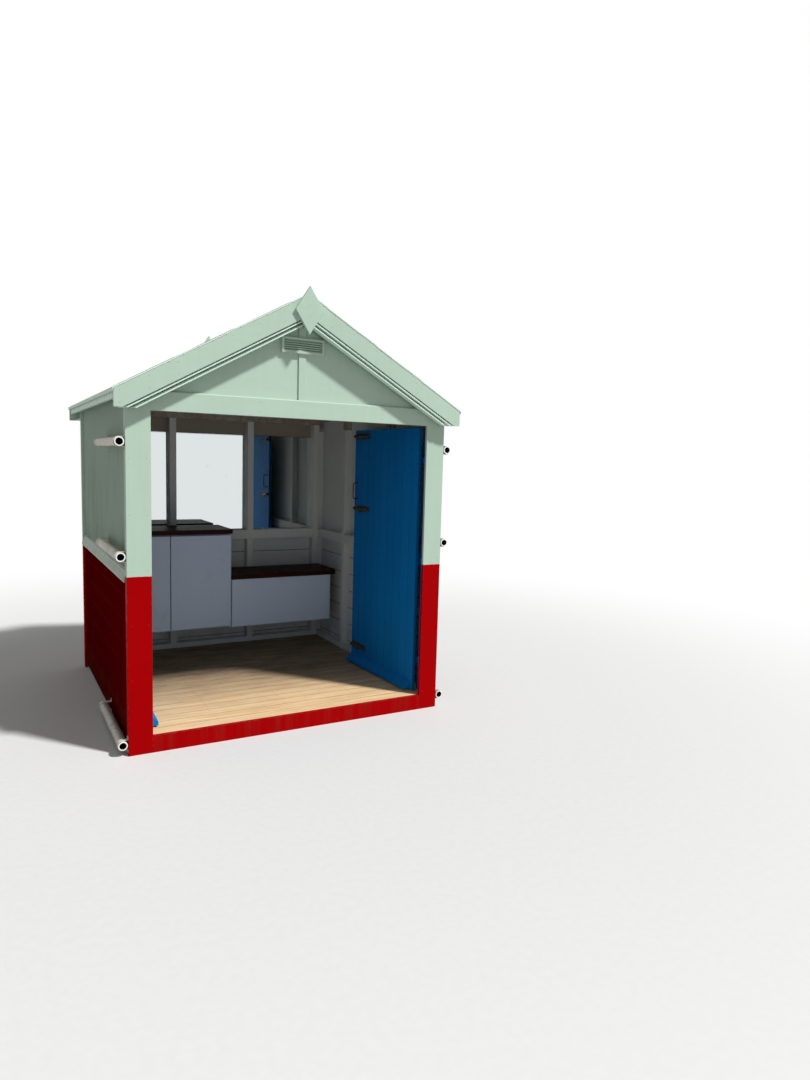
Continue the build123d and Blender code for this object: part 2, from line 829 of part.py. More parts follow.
# Three long bolts and a pull handle on the right leaf, drawn back behind its meeting edge.
# Each round bar slides in two guides on a plate and has a lug with a hole for a padlock.
bolt_end = leaf_end - bolt_edge_gap
bolt_start = bolt_end - bolt_length
bolt_out = bolt_plate_thickness + bolt_lift + bolt_radius
guide_bore = bolt_radius + guide_play
guide_reach = guide_bore + guide_wall


def guide_corners(side, z, reach):
    """Corners of one outline of a guide, a strap bent over the bar: flat cheeks and a bevelled crown."""
    plate_x = leaf_face_x - bolt_plate_thickness
    bar_x = leaf_face_x - bolt_out
    return (
        (side * plate_x, z - reach),
        (side * bar_x, z - reach),
        (side * (bar_x - reach), z - reach / 2),
        (side * (bar_x - reach), z + reach / 2),
        (side * bar_x, z + reach),
        (side * plate_x, z + reach),
    )


with BuildPart() as bolts_and_handle:
    for z in bolt_heights:
        with BuildSketch(Plane.YZ.offset(leaf_face_x)):
            with Locations((bolt_end - bolt_length / 2, z)):
                plate = Rectangle(bolt_length, bolt_plate_height)
                chamfer(plate.vertices(), length=bolt_plate_chamfer)
        extrude(amount=-bolt_plate_thickness)
        for guide_y in (bolt_start + guide_inset + guide_width, bolt_end - guide_inset):
            with BuildSketch(Plane.XZ.offset(-guide_y)):
                with BuildLine():
                    Polyline(*guide_corners(1, z, guide_reach), close=True)
                make_face()
                with BuildLine():
                    Polyline(*guide_corners(1, z, guide_bore), close=True)
                make_face(mode=Mode.SUBTRACT)
            extrude(amount=guide_width)
        with BuildSketch(Plane.XZ.offset(-bolt_end)):
            with Locations((leaf_face_x - bolt_out, z)):
                Circle(bolt_radius)
        extrude(amount=bolt_length)
        with BuildSketch(Plane.YZ.offset(leaf_face_x - bolt_out + lug_thickness / 2)):
            with Locations((bolt_start + lug_place, z - lug_drop / 2)):
                Rectangle(lug_width, lug_drop)
            with Locations((bolt_start + lug_place, z - lug_drop + lug_width / 2)):
                Circle(lug_hole, mode=Mode.SUBTRACT)
        extrude(amount=-lug_thickness)
    with BuildLine():
        handle_y = leaf_end - handle_edge_gap
        FilletPolyline(
            (leaf_face_x, handle_y, handle_centre - handle_height / 2),
            (leaf_face_x - handle_reach, handle_y, handle_centre - handle_height / 2),
            (leaf_face_x - handle_reach, handle_y, handle_centre + handle_height / 2),
            (leaf_face_x, handle_y, handle_centre + handle_height / 2),
            radius=handle_reach / 2,
        )
    with BuildSketch(Plane((leaf_face_x, handle_y, handle_centre - handle_height / 2), z_dir=(-1, 0, 0))):
        RegularPolygon(handle_radius, handle_sides)
    sweep()
bolts_and_handle.part = stand_off(bolts_and_handle.part, 1)
bolts_and_handle.part.label = "bolts_and_handle"
export_step(bolts_and_handle.part, "parts/bolts_and_handle.step")

# Keeps on the left leaf take the ends of the bolts
with BuildPart() as bolt_keeps:
    for z in bolt_heights:
        with BuildSketch(Plane.YZ.offset(-leaf_face_x)):
            with Locations((bolt_end - keep_length / 2, z)):
                plate = Rectangle(keep_length, bolt_plate_height)
                chamfer(plate.vertices(), length=bolt_plate_chamfer)
        extrude(amount=bolt_plate_thickness)
        with BuildSketch(Plane.XZ.offset(-bolt_end + guide_width)):
            with BuildLine():
                Polyline(*guide_corners(-1, z, guide_reach), close=True)
            make_face()
            with BuildLine():
                Polyline(*guide_corners(-1, z, guide_bore), close=True)
            make_face(mode=Mode.SUBTRACT)
        extrude(amount=guide_width)
bolt_keeps.part = stand_off(bolt_keeps.part, -1)
bolt_keeps.part.label = "bolt_keeps"
export_step(bolt_keeps.part, "parts/bolt_keeps.step")

# Mirror panes on the rear cladding between the studs, above the rail
with BuildPart() as mirror_panes:
    with BuildSketch(Plane.XZ.offset(mirror_thickness - stud_y)):
        for low_x, high_x in zip(rear_stud_xs, rear_stud_xs[1:]):
            with Locations(((low_x + high_x) / 2, (rail_top + mirror_top) / 2)):
                Rectangle(high_x - low_x - stud_width, mirror_top - rail_top)
    extrude(amount=-mirror_thickness)
mirror_panes.part.label = "mirror_panes"
export_step(mirror_panes.part, "parts/mirror_panes.step")

# Wall cupboard: a box open to the front, with brackets and pivot pins for its doors
cupboard_right = cupboard_width - inner_x
cupboard_top = worktop_top - top_thickness
unit_front = rear_y - unit_depth
box_front = unit_front + door_panel_thickness + unit_gap
cupboard_depth = rear_y - box_front
cupboard_mid = cupboard_right - cupboard_width / 2
unit_door_low = cupboard_foot + pivot_bracket + unit_gap
unit_door_high = cupboard_top - pivot_bracket - unit_gap
unit_door_width = (cupboard_width - 3 * unit_gap) / 2
pivot_y = unit_front + door_panel_thickness / 2
pivot_offset = cupboard_width / 2 - unit_gap - door_panel_thickness / 2
with BuildPart() as cupboard_box:
    with BuildSketch(Plane.XZ.offset(-box_front)):
        with Locations((cupboard_mid, (cupboard_foot + cupboard_top) / 2)):
            Rectangle(cupboard_width, cupboard_top - cupboard_foot)
            Rectangle(
                cupboard_width - 2 * panel_thickness,
                cupboard_top - cupboard_foot - 2 * panel_thickness,
                mode=Mode.SUBTRACT,
            )
    extrude(amount=-cupboard_depth)
    for side in (-1, 1):
        pivot_x = cupboard_mid + side * pivot_offset
        for bracket_foot, pin_foot in (
            (cupboard_foot, cupboard_foot),
            (cupboard_top - pivot_bracket, unit_door_high - pivot_bite),
        ):
            with BuildSketch(Plane.XY.offset(bracket_foot)):
                with Locations((pivot_x, (unit_front + box_front) / 2)):
                    Rectangle(door_panel_thickness, box_front - unit_front)
            extrude(amount=pivot_bracket)
            with BuildSketch(Plane.XY.offset(pin_foot)):
                with Locations((pivot_x, pivot_y)):
                    Circle(pivot_radius)
            extrude(amount=pivot_bracket + unit_gap + pivot_bite)
cupboard_box.part.label = "cupboard_box"
export_step(cupboard_box.part, "parts/cupboard_box.step")

# Cupboard doors with a round hinge edge, turning on pins in their top and bottom edges
for side, name in ((-1, "left_cupboard_door"), (1, "right_cupboard_door")):
    with BuildPart() as unit_door:
        hinge_x = cupboard_mid + side * pivot_offset
        plain_width = unit_door_width - door_panel_thickness / 2
        with BuildSketch(Plane.XY.offset(unit_door_low)):
            with Locations((hinge_x - side * plain_width / 2, pivot_y)):
                Rectangle(plain_width, door_panel_thickness)
            with Locations((hinge_x, pivot_y)):
                Circle(door_panel_thickness / 2)
        extrude(amount=unit_door_high - unit_door_low)
        for pin_foot in (unit_door_low, unit_door_high - pivot_bite - pin_clearance):
            with BuildSketch(Plane.XY.offset(pin_foot)):
                with Locations((hinge_x, pivot_y)):
                    Circle(pivot_radius + pin_clearance)
            extrude(amount=pivot_bite + pin_clearance, mode=Mode.SUBTRACT)
    unit_door.part.label = name
    export_step(unit_door.part, f"parts/{name}.step")

# Worktop over the cupboard
with BuildPart() as worktop:
    with BuildSketch(Plane.XY.offset(cupboard_top)):
        with Locations((cupboard_mid, (unit_front - top_overhang + rear_y) / 2)):
            Rectangle(cupboard_width, unit_depth + top_overhang)
    extrude(amount=top_thickness)
worktop.part.label = "worktop"
export_step(worktop.part, "parts/worktop.step")

# Bench box beside the cupboard, hung on the rear wall, and its dark top
bench_right = inner_x - bench_end_gap
bench_mid = (cupboard_right + bench_right) / 2
bench_width = bench_right - cupboard_right
bench_high = bench_top - top_thickness
with BuildPart() as bench_box:
    with BuildSketch(Plane.XY.offset(bench_foot)):
        with Locations((bench_mid, (unit_front + rear_y) / 2)):
            Rectangle(bench_width, unit_depth)
    extrude(amount=bench_high - bench_foot)
    with BuildSketch(Plane.XY.offset(bench_foot + panel_thickness)):
        with Locations((bench_mid, (unit_front + rear_y) / 2)):
            Rectangle(bench_width - 2 * panel_thickness, unit_depth - 2 * panel_thickness)
    extrude(amount=bench_high - bench_foot, mode=Mode.SUBTRACT)
bench_box.part.label = "bench_box"
export_step(bench_box.part, "parts/bench_box.step")

with BuildPart() as bench_seat:
    with BuildSketch(Plane.XY.offset(bench_top - top_thickness)):
        with Locations(((cupboard_right + inner_x) / 2, (unit_front - top_overhang + rear_y) / 2)):
            Rectangle(inner_x - cupboard_right, unit_depth + top_overhang)
    extrude(amount=top_thickness)
    front_corner = bench_seat.edges().filter_by(Axis.Z).sort_by(Axis.Y)[:2].sort_by(Axis.X)[-1]
    fillet(front_corner, radius=bench_corner)
bench_seat.part.label = "bench_seat"
export_step(bench_seat.part, "parts/bench_seat.step")
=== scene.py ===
import math

import bmesh
import bpy
from mathutils import Matrix, Vector, noise


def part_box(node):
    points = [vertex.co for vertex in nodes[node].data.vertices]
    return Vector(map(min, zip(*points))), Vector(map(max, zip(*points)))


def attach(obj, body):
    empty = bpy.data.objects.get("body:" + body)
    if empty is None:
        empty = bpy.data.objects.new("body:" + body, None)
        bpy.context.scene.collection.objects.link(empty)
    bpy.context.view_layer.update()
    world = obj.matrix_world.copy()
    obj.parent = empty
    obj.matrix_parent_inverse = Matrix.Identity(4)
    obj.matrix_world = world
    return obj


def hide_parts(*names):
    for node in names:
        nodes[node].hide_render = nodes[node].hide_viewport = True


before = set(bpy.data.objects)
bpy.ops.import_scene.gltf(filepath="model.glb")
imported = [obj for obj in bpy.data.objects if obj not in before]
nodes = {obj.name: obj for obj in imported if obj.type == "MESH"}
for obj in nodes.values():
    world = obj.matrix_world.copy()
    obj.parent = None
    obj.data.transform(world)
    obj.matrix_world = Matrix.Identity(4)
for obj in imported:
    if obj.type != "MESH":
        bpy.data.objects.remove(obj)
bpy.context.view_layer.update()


# The studio: a pale floor that fades to white, under one sun lamp and an even sky. The eye
# stands left of the doorway at head height, looks to the right and a little down.
def add_node(tree, kind, inputs=None, **settings):
    """Adds a node, sets its properties, and gives each input a value or a link from a socket."""
    made = tree.nodes.new(kind)
    for name, value in settings.items():
        setattr(made, name, value)
    for name, value in (inputs or {}).items():
        if isinstance(value, bpy.types.NodeSocket):
            tree.links.new(value, made.inputs[name])
        else:
            made.inputs[name].default_value = value
    return made


def next_node(kind, inputs, **settings):
    """Adds a node to the tree that its first linked input comes from; returns its outputs."""
    source = next(value for value in inputs.values() if isinstance(value, bpy.types.NodeSocket))
    return add_node(source.id_data, kind, inputs, **settings).outputs


def add_object(name, data):
    """An object in the scene that holds a mesh, a camera or a lamp."""
    made = bpy.data.objects.new(name, data)
    bpy.context.collection.objects.link(made)
    return made


def start_material(name):
    """A material with an empty tree; returns the material and the place on the object."""
    material = bpy.data.materials.new(name)
    material.use_nodes = True
    material.node_tree.nodes.clear()
    return material, add_node(material.node_tree, "ShaderNodeTexCoord").outputs["Object"]


def calc(operation, *values, clamp=False):
    """One step of arithmetic; returns its result socket."""
    return next_node("ShaderNodeMath", dict(enumerate(values)), operation=operation, use_clamp=clamp)[0]


def times(first, second, clamp=False):
    """The product of two values."""
    return calc("MULTIPLY", first, second, clamp=clamp)


def blend_colour(amount, first, second):
    """Mixes two colours by an amount; returns the colour socket."""
    return next_node("ShaderNodeMix", {0: amount, 6: first, 7: second}, data_type="RGBA")[2]


def ramp_up(value, low, high):
    """A smooth step from 0 at low to 1 at high."""
    ends = {0: value, 1: low, 2: high, 3: 0.0, 4: 1.0}
    return next_node("ShaderNodeMapRange", ends, interpolation_type="SMOOTHSTEP")[0]


def spread(place, scale, detail=5.0, rough=0.6):
    """A cloud of soft noise over the piece; returns its value."""
    cloud = {"Vector": place, "Scale": scale, "Detail": detail, "Roughness": rough}
    return next_node("ShaderNodeTexNoise", cloud)[0]


def seen_directly(tree):
    """1 for what the eye sees directly, in a reflection or through glass, else 0."""
    rays = add_node(tree, "ShaderNodeLightPath").outputs
    direct = calc("MAXIMUM", rays["Is Camera Ray"], rays["Is Glossy Ray"])
    return calc("MAXIMUM", direct, rays["Is Transmission Ray"])


eye = Vector((-1.6278, -5.0373, 1.6289))
eye_turn, eye_tilt, eye_lean = (math.radians(angle) for angle in (-29.892, -6.076, -1.623))
eye_lens = 24.667
camera = add_object("camera", bpy.data.cameras.new("camera"))
camera.data.lens = eye_lens
look = Matrix.Rotation(eye_turn, 3, "Z") @ Matrix.Rotation(eye_tilt, 3, "X")
look = look @ Matrix.Rotation(eye_lean, 3, "Y") @ Matrix.Rotation(math.pi / 2, 3, "X")
camera.matrix_world = Matrix.LocRotScale(eye, look.to_quaternion(), None)
bpy.context.scene.camera = camera
bpy.context.scene.view_settings.view_transform = "Standard"

white = (1.0, 1.0, 1.0, 1.0)
floor_reach = 40.0
floor_fade_start = 2.2
floor_fade_end = 6.5
floor_seen = (0.66, 0.66, 0.65, 1.0)
floor_speck = (0.72, 0.72, 0.71, 1.0)
floor_bounce = (0.46, 0.46, 0.45, 1.0)
floor_mesh = bpy.data.meshes.new("studio_floor")
floor_corners = [(x * floor_reach, y * floor_reach, 0.0) for x, y in ((-1, -1), (1, -1), (1, 1), (-1, 1))]
floor_mesh.from_pydata(floor_corners, [], [(0, 1, 2, 3)])
studio_floor = add_object("studio_floor", floor_mesh)
studio_finish, place = start_material("studio_floor")
distance = next_node("ShaderNodeVectorMath", {0: place}, operation="LENGTH")["Value"]
seen = seen_directly(studio_finish.node_tree)
far = times(ramp_up(distance, floor_fade_start, floor_fade_end), seen)
speckle = spread(place, 30.0, 4.0, 0.5)
floor_tone = blend_colour(seen, floor_bounce, blend_colour(speckle, floor_seen, floor_speck))
ground = next_node("ShaderNodeBsdfDiffuse", {"Color": floor_tone})[0]
haze = add_node(studio_finish.node_tree, "ShaderNodeEmission", {"Color": white, "Strength": 1.0}).outputs[0]
surface = next_node("ShaderNodeMixShader", {0: far, 1: ground, 2: haze})[0]
next_node("ShaderNodeOutputMaterial", {"Surface": surface})
floor_mesh.materials.append(studio_finish)

sky_light = 0.31
world = bpy.data.worlds.new("studio")
world.use_nodes = True
bpy.context.scene.world = world
world.node_tree.nodes.clear()
strength = calc("MAXIMUM", seen_directly(world.node_tree), sky_light)
sky = next_node("ShaderNodeBackground", {"Color": white, "Strength": strength})[0]
next_node("ShaderNodeOutputWorld", {"Surface": sky})

lamp_strength = 3.65
lamp_width = math.radians(5)
lamp_from = Vector((0.40, -0.48, 0.78))
lamp = add_object("studio_lamp", bpy.data.lights.new("studio_lamp", "SUN"))
lamp.data.energy = lamp_strength
lamp.data.angle = lamp_width
lamp.matrix_world = lamp_from.to_track_quat("Z", "Y").to_matrix().to_4x4()


# The floor: softwood joists from front to back under planed boards that run across the hut,
# nailed down, left bare and scuffed by feet; the boards are painted darker further into the hut, as painted
# shade.
def colour(red, green, blue):
    """A colour as paint charts give it, 0 to 255, turned into the linear values that Blender mixes."""
    parts = (part / 255 for part in (red, green, blue))
    return tuple(p / 12.92 if p <= 0.04045 else ((p + 0.055) / 1.055) ** 2.4 for p in parts) + (1.0,)


def plus(first, second, clamp=False):
    """The sum of two values."""
    return calc("ADD", first, second, clamp=clamp)


def minus(first, second, clamp=False):
    """The first value less the second."""
    return calc("SUBTRACT", first, second, clamp=clamp)


def weigh(first, first_share, second, second_share, clamp=False):
    """The sum of two values, each multiplied by its share."""
    return plus(times(first, first_share), times(second, second_share), clamp=clamp)


def vector_calc(operation, first, second):
    """One step of arithmetic on vectors or colours; returns the node's outputs."""
    return next_node("ShaderNodeVectorMath", {0: first, 1: second}, operation=operation)


def stretch(place, factors):
    """The place on the object, multiplied along each axis."""
    return vector_calc("MULTIPLY", place, factors)[0]


def split(place):
    """The three coordinates of a place."""
    return next_node("ShaderNodeSeparateXYZ", {0: place})


def blotches(place, scale, low, high, detail=5.0, rough=0.6):
    """Patches of soft noise: 0 where the noise is under low, 1 where it is over high."""
    return ramp_up(spread(place, scale, detail, rough), low, high)


def tinge(tone, mask, amount, other):
    """Turns a tone towards another colour by a mask times an amount."""
    return blend_colour(times(mask, amount), tone, other)


def lengths_past(value, start, length):
    """How many lengths a value lies past a start, with fractions."""
    return calc("DIVIDE", minus(value, start), length)


def board_chance(boards):
    """A colour and a value that differ from board to board by chance."""
    return next_node("ShaderNodeTexWhiteNoise", {"W": calc("FLOOR", boards)}, noise_dimensions="1D")


def off_line(value, middle):
    """How far a value is from a middle line, on either side."""
    return calc("ABSOLUTE", minus(value, middle))


def board_joint(boards, low, high):
    """1 at the joints between boards, with a soft start; a board's middle is 0, its edge 0.5."""
    return ramp_up(off_line(calc("FRACT", boards), 0.5), low, high)


def start_group(name, inputs):
    """A shader node group with a Position and its own inputs; returns its tree and those sockets."""
    group = bpy.data.node_groups.new(name, "ShaderNodeTree")
    for label, value in {"Position": (0.0, 0.0, 0.0), **inputs}.items():
        kind = "Float" if isinstance(value, float) else "Color" if len(value) == 4 else "Vector"
        made = group.interface.new_socket(label, in_out="INPUT", socket_type=f"NodeSocket{kind}")
        made.default_value = value
    return group, add_node(group, "NodeGroupInput").outputs


def close_group(group, **results):
    """Gives a node group its named outputs."""
    for label, socket in results.items():
        kind = {"VALUE": "Float", "RGBA": "Color", "VECTOR": "Vector"}[socket.type]
        group.interface.new_socket(label, in_out="OUTPUT", socket_type=f"NodeSocket{kind}")
    add_node(group, "NodeGroupOutput", results)


def place_group(group, place, **inputs):
    """Places a node group in a material with its own values; returns its outputs."""
    return next_node("ShaderNodeGroup", {"Position": place, **inputs}, node_tree=group)


def close_material(tone, rough, height=None, relief=0.001, facing=None, shine=0.2, metal=0.0):
    """Ends a material in a Principled shader, with a bump of the given depth in metres."""
    plain = {"Base Color": tone, "Roughness": rough, "Specular IOR Level": shine, "Metallic": metal}
    if height is not None:
        bump = {"Strength": 1.0, "Distance": relief, "Height": height}
        if facing is not None:
            bump["Normal"] = facing
        plain["Normal"] = next_node("ShaderNodeBump", bump)[0]
    next_node("ShaderNodeOutputMaterial", {"Surface": next_node("ShaderNodeBsdfPrincipled", plain)[0]})


def dress(material, *names):
    """Gives CAD nodes their finish."""
    for name in names:
        mesh = nodes[name].data
        mesh.materials.clear()
        mesh.materials.append(material)


grain, given = start_group("timber_grain", {
    "Stretch": (1.0, 30.0, 30.0), "Light": (0.6, 0.45, 0.3, 1.0), "Dark": (0.3, 0.2, 0.12, 1.0),
})
drawn = stretch(given["Position"], given["Stretch"])
banding = {"Vector": drawn, "Scale": 1.0, "Detail": 5.0, "Roughness": 0.6, "Distortion": 0.6}
bands = next_node("ShaderNodeTexNoise", banding)[0]
fibres = spread(stretch(drawn, (5.0, 5.0, 5.0)), 1.0, 3.0)
figure = weigh(bands, 0.62, fibres, 0.38)
tone = blend_colour(ramp_up(figure, 0.36, 0.64), given["Dark"], given["Light"])
close_group(grain, Colour=tone, Height=figure)


def show_grain(place, drawn_out, light, dark):
    """Timber with its grain drawn out along an axis; returns its colour and its height."""
    wood = place_group(grain, place, Stretch=drawn_out, Light=light, Dark=dark)
    return wood["Colour"], wood["Height"]


boards_low, boards_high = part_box("floor_boards")
floor_board_count = 20
floor_joint = 0.003
floor_pitch = (boards_high.y - boards_low.y + floor_joint) / floor_board_count
shade_from, shade_full = -0.8, 0.1
floor_finish, place = start_material("worn_pine_floor")
depth = split(place)[1]
boards = lengths_past(depth, boards_low.y - floor_joint / 2, floor_pitch)
chance = board_chance(boards)
shifted = vector_calc("ADD", place, chance["Color"])[0]
tone, figure = show_grain(shifted, (1.6, 34.0, 34.0), colour(250, 216, 170), colour(224, 184, 136))
tone = tinge(tone, chance["Value"], 0.4, colour(232, 198, 152))
scuffed = blotches(stretch(place, (3.0, 9.0, 1.0)), 1.0, low=0.4, high=0.66, detail=7.0, rough=0.7)
# Darker from the doorway inwards: painted shade, with scuffs from feet mixed in.
shade_and_scuffs = weigh(ramp_up(depth, shade_from, shade_full), 0.72, scuffed, 0.16, clamp=True)
tone = blend_colour(shade_and_scuffs, tone, colour(96, 84, 72))
tone = tinge(tone, board_joint(boards, 0.466, 0.49), 0.75, colour(58, 46, 36))
polish = plus(times(scuffed, 0.25), 0.5)
close_material(tone, polish, figure, relief=0.0008)
dress(floor_finish, "floor_boards")

joist_finish, place = start_material("rough_joist_timber")
tone, figure = show_grain(place, (30.0, 1.4, 30.0), colour(128, 108, 84), colour(70, 56, 44))
damp = blotches(place, 3.0, low=0.45, high=0.7)
close_material(blend_colour(damp, tone, colour(52, 48, 42)), 0.85, figure, relief=0.002)
dress(joist_finish, "floor_joists")

# Rows of heads: a grid of points, each with the low domed head of a nail or screw on it.
heads = bpy.data.node_groups.new("rows_of_heads", "GeometryNodeTree")
head_sizes = {
    "Start": "Vector", "Step": "Vector", "Count": "Int", "Row step": "Vector", "Rows": "Int",
    "Facing": "Vector", "Radius": "Float", "Rise": "Float", "Wander": "Float", "Finish": "Material",
}
head_sockets = {
    label: heads.interface.new_socket(label, in_out="INPUT", socket_type=f"NodeSocket{kind}").identifier
    for label, kind in head_sizes.items()
}
heads.interface.new_socket("Heads", in_out="OUTPUT", socket_type="NodeSocketGeometry")
given = add_node(heads, "NodeGroupInput").outputs
head_sides = 10
head_crown = 0.6
head_seed = 11
first_row = {"Count": given["Count"], "Start Location": given["Start"], "Offset": given["Step"]}
line = next_node("GeometryNodeMeshLine", first_row)[0]
across = next_node("GeometryNodeMeshLine", {"Count": given["Rows"], "Offset": given["Row step"]})[0]
grid = next_node("GeometryNodeInstanceOnPoints", {"Points": line, "Instance": across})[0]
points = next_node("GeometryNodeRealizeInstances", {"Geometry": grid})[0]
reach = {"Min": (-1.0, -1.0, -1.0), "Max": (1.0, 1.0, 1.0), "Seed": head_seed}
stray = add_node(heads, "FunctionNodeRandomValue", reach, data_type="FLOAT_VECTOR").outputs[0]
aside = vector_calc("CROSS_PRODUCT", given["Facing"], stray)[0]
aside = next_node("ShaderNodeVectorMath", {0: aside, "Scale": given["Wander"]}, operation="SCALE")[0]
moved = next_node("GeometryNodeSetPosition", {"Geometry": points, "Offset": aside})[0]
crown = times(given["Radius"], head_crown)
head = next_node("GeometryNodeMeshCone", {
    "Vertices": head_sides, "Radius Top": crown, "Radius Bottom": given["Radius"], "Depth": given["Rise"],
})[0]
turn = next_node("FunctionNodeAlignRotationToVector", {"Vector": given["Facing"]}, axis="Z")[0]
placed = next_node("GeometryNodeInstanceOnPoints", {"Points": moved, "Instance": head, "Rotation": turn})[0]
solid = next_node("GeometryNodeRealizeInstances", {"Geometry": placed})[0]
finished = next_node("GeometryNodeSetMaterial", {"Geometry": solid, "Material": given["Finish"]})[0]
add_node(heads, "NodeGroupOutput", {"Heads": finished})

head_sink = 0.0004


def head_row(start, step, count, facing, row_step=(0, 0, 0), row_count=1):
    """A row of heads that face one way, how far off the next row like it is, and how many there are."""
    return start, step, count, row_step, row_count, facing


def as_piece(name, shape, *finishes):
    """Turns a finished shape into an object of its own in the scene."""
    mesh = bpy.data.meshes.new(name)
    shape.to_mesh(mesh)
    shape.free()
    for finish in finishes:
        mesh.materials.append(finish)
    return add_object(name, mesh)


def drive_heads(name, body, finish, rows, radius, rise, wander=0.0015):
    """Drives rows of heads and joins them in one mesh on a body."""
    joined = bmesh.new()
    for start, step, count, row_step, row_count, facing in rows:
        holder = add_object(name + "_row", bpy.data.meshes.new(name + "_row"))
        made = holder.modifiers.new("rows", "NODES")
        made.node_group = heads
        facing = Vector(facing)
        values = (Vector(start) - facing * head_sink, step, count, row_step, row_count, facing, radius,
                  rise + head_sink, wander, finish)
        for label, value in zip(head_sizes, values):
            if head_sizes[label] == "Vector":
                value = tuple(float(part) for part in value)
            made[head_sockets[label]] = value
        holder.update_tag()
        seen_now = bpy.context.evaluated_depsgraph_get()
        shape = bpy.data.meshes.new_from_object(holder.evaluated_get(seen_now))
        joined.from_mesh(shape)
        bpy.data.objects.remove(holder)
        bpy.data.meshes.remove(shape)
    piece = as_piece(name, joined, finish)
    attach(piece, body)


nail_finish, place = start_material("rusty_nail_heads")
spots = spread(place, 90.0)
rust = blend_colour(ramp_up(spots, 0.4, 0.6), colour(92, 86, 80), colour(74, 48, 34))
close_material(rust, 0.6, spots, relief=0.0003, metal=0.5)
inner_joists = (-0.46075, 0.46075)
nailed_joists = 3
nail_from_middle = 0.026
first_board = boards_low.y + (floor_pitch - floor_joint) / 2
rows = [
    head_row((inner_joists[0], first_board + offset, boards_high.z), (inner_joists[1], 0, 0), nailed_joists,
             (0, 0, 1), (0, floor_pitch, 0), floor_board_count - 1)
    for offset in (-nail_from_middle, nail_from_middle)
]
drive_heads("floor_nails", "hut", nail_finish, rows, radius=0.0032, rise=0.0004)


# The threshold and the boards of the walls' lower half: sawn softwood under bright red paint,
# brushed on along the boards, worn through at the edges and dulled by salt and splashed sand.
# The wall boards take a darker copy of the red as painted shade, with a paler line along each
# joint as a painted highlight.
film, given = start_group("brushed_paint", {
    "Colour": (0.5, 0.5, 0.5, 1.0), "Under": (0.7, 0.7, 0.68, 1.0), "Brush": (60.0, 60.0, 4.0),
    "Drift": 0.08, "Chips": 0.02, "Gloss": 0.4,
})
cloudy = spread(given["Position"], 2.2, 6.0)
brushed = spread(stretch(given["Position"], given["Brush"]), 1.0, 3.0, 0.5)
uneven = weigh(cloudy, 0.7, brushed, 0.3)
swing = times(minus(uneven, 0.5), times(given["Drift"], 4.0))
scaled = {0: given["Colour"], "Scale": plus(swing, 1.0)}
coat = next_node("ShaderNodeVectorMath", scaled, operation="SCALE")[0]
flakes = spread(given["Position"], 38.0, 5.0, 0.62)
bald_places = spread(given["Position"], 5.0, 3.0, 0.5)
edge = minus(0.72, given["Chips"])
bare = ramp_up(weigh(flakes, 0.65, bald_places, 0.35), edge, plus(edge, 0.03))
dull = plus(given["Gloss"], times(cloudy, 0.25))
close_group(
    film, Colour=blend_colour(bare, coat, given["Under"]),
    Roughness=plus(dull, times(bare, 0.3), clamp=True),
    Height=minus(times(brushed, 0.25), bare),
)

arris, given = start_group("rubbed_arris", {"Reach": 0.004, "Amount": 0.5})
eased = next_node("ShaderNodeBevel", {"Radius": given["Reach"]}, samples=4)[0]
flat = add_node(arris, "ShaderNodeNewGeometry").outputs["Normal"]
agree = vector_calc("DOT_PRODUCT", eased, flat)["Value"]
corner = ramp_up(minus(1.0, agree), 0.03, 0.22)
broken = blotches(given["Position"], 32.0, low=0.44, high=0.6, detail=6.0, rough=0.7)
mask = times(times(corner, broken), given["Amount"], clamp=True)
close_group(arris, Mask=mask, Corner=corner, Normal=eased)

wall_middle = 0.951
sides, given = start_group("inside_and_outside", {
    "Outside": (0.5, 0.5, 0.5, 1.0), "Inside": (0.8, 0.8, 0.8, 1.0), "Face": wall_middle,
})


def above(value, limit):
    """1 where a value is over a limit, else 0."""
    return calc("GREATER_THAN", value, limit)


def reach_out(place):
    """How far a place is from the hut's middle, towards the nearest wall."""
    axes = split(place)
    return calc("MAXIMUM", calc("ABSOLUTE", axes[0]), calc("ABSOLUTE", axes[1]))


outer = above(reach_out(given["Position"]), given["Face"])
close_group(sides, Colour=blend_colour(outer, given["Inside"], given["Outside"]), Outer=outer)

runs, given = start_group("dirt_runs", {
    "Colour": (0.5, 0.5, 0.5, 1.0), "Dirt": (0.2, 0.2, 0.18, 1.0),
    "From": 1.8, "Length": 0.4, "Amount": 0.5,
})
drop = minus(given["From"], split(given["Position"])[2])
fade = minus(1.0, calc("DIVIDE", drop, given["Length"]), clamp=True)
below = above(drop, 0.0)
strands = blotches(stretch(given["Position"], (26.0, 26.0, 1.1)), 1.0, low=0.4, high=0.68)
mask = times(times(strands, times(fade, below)), given["Amount"], clamp=True)
close_group(runs, Colour=blend_colour(mask, given["Colour"], given["Dirt"]))

arris_reach = 0.004
# A pale mint for painted highlights on arrises and on the felt's turned-down edges.
highlight_mint = colour(226, 244, 232)


def lay_paint(place, tone, under, brush, drift=0.06, chips=0.02, gloss=0.42, rubbed=0.4, edge_highlight=0.0):
    """Brushes a coat over its undercoat, paints a highlight along the arrises where asked, and rubs
    the coat through there in places; returns the colour, and what the rest of the material needs of it."""
    coat = place_group(
        film, place, Colour=tone, Under=under, Brush=brush, Drift=drift, Chips=chips, Gloss=gloss
    )
    rub = place_group(arris, place, Reach=arris_reach, Amount=rubbed)
    tone = coat["Colour"]
    # A paler mint along the arrises: a painted highlight.
    if edge_highlight:
        tone = tinge(tone, rub["Corner"], edge_highlight, highlight_mint)
    rest = {"rough": coat["Roughness"], "height": coat["Height"], "facing": rub["Normal"]}
    return blend_colour(rub["Mask"], tone, under), rest


def two_faces(place, outside, inside):
    """One colour outside a wall, another inside; returns the colour and where it is outside."""
    both = place_group(sides, place, Outside=outside, Inside=inside)
    return both["Colour"], both["Outer"]


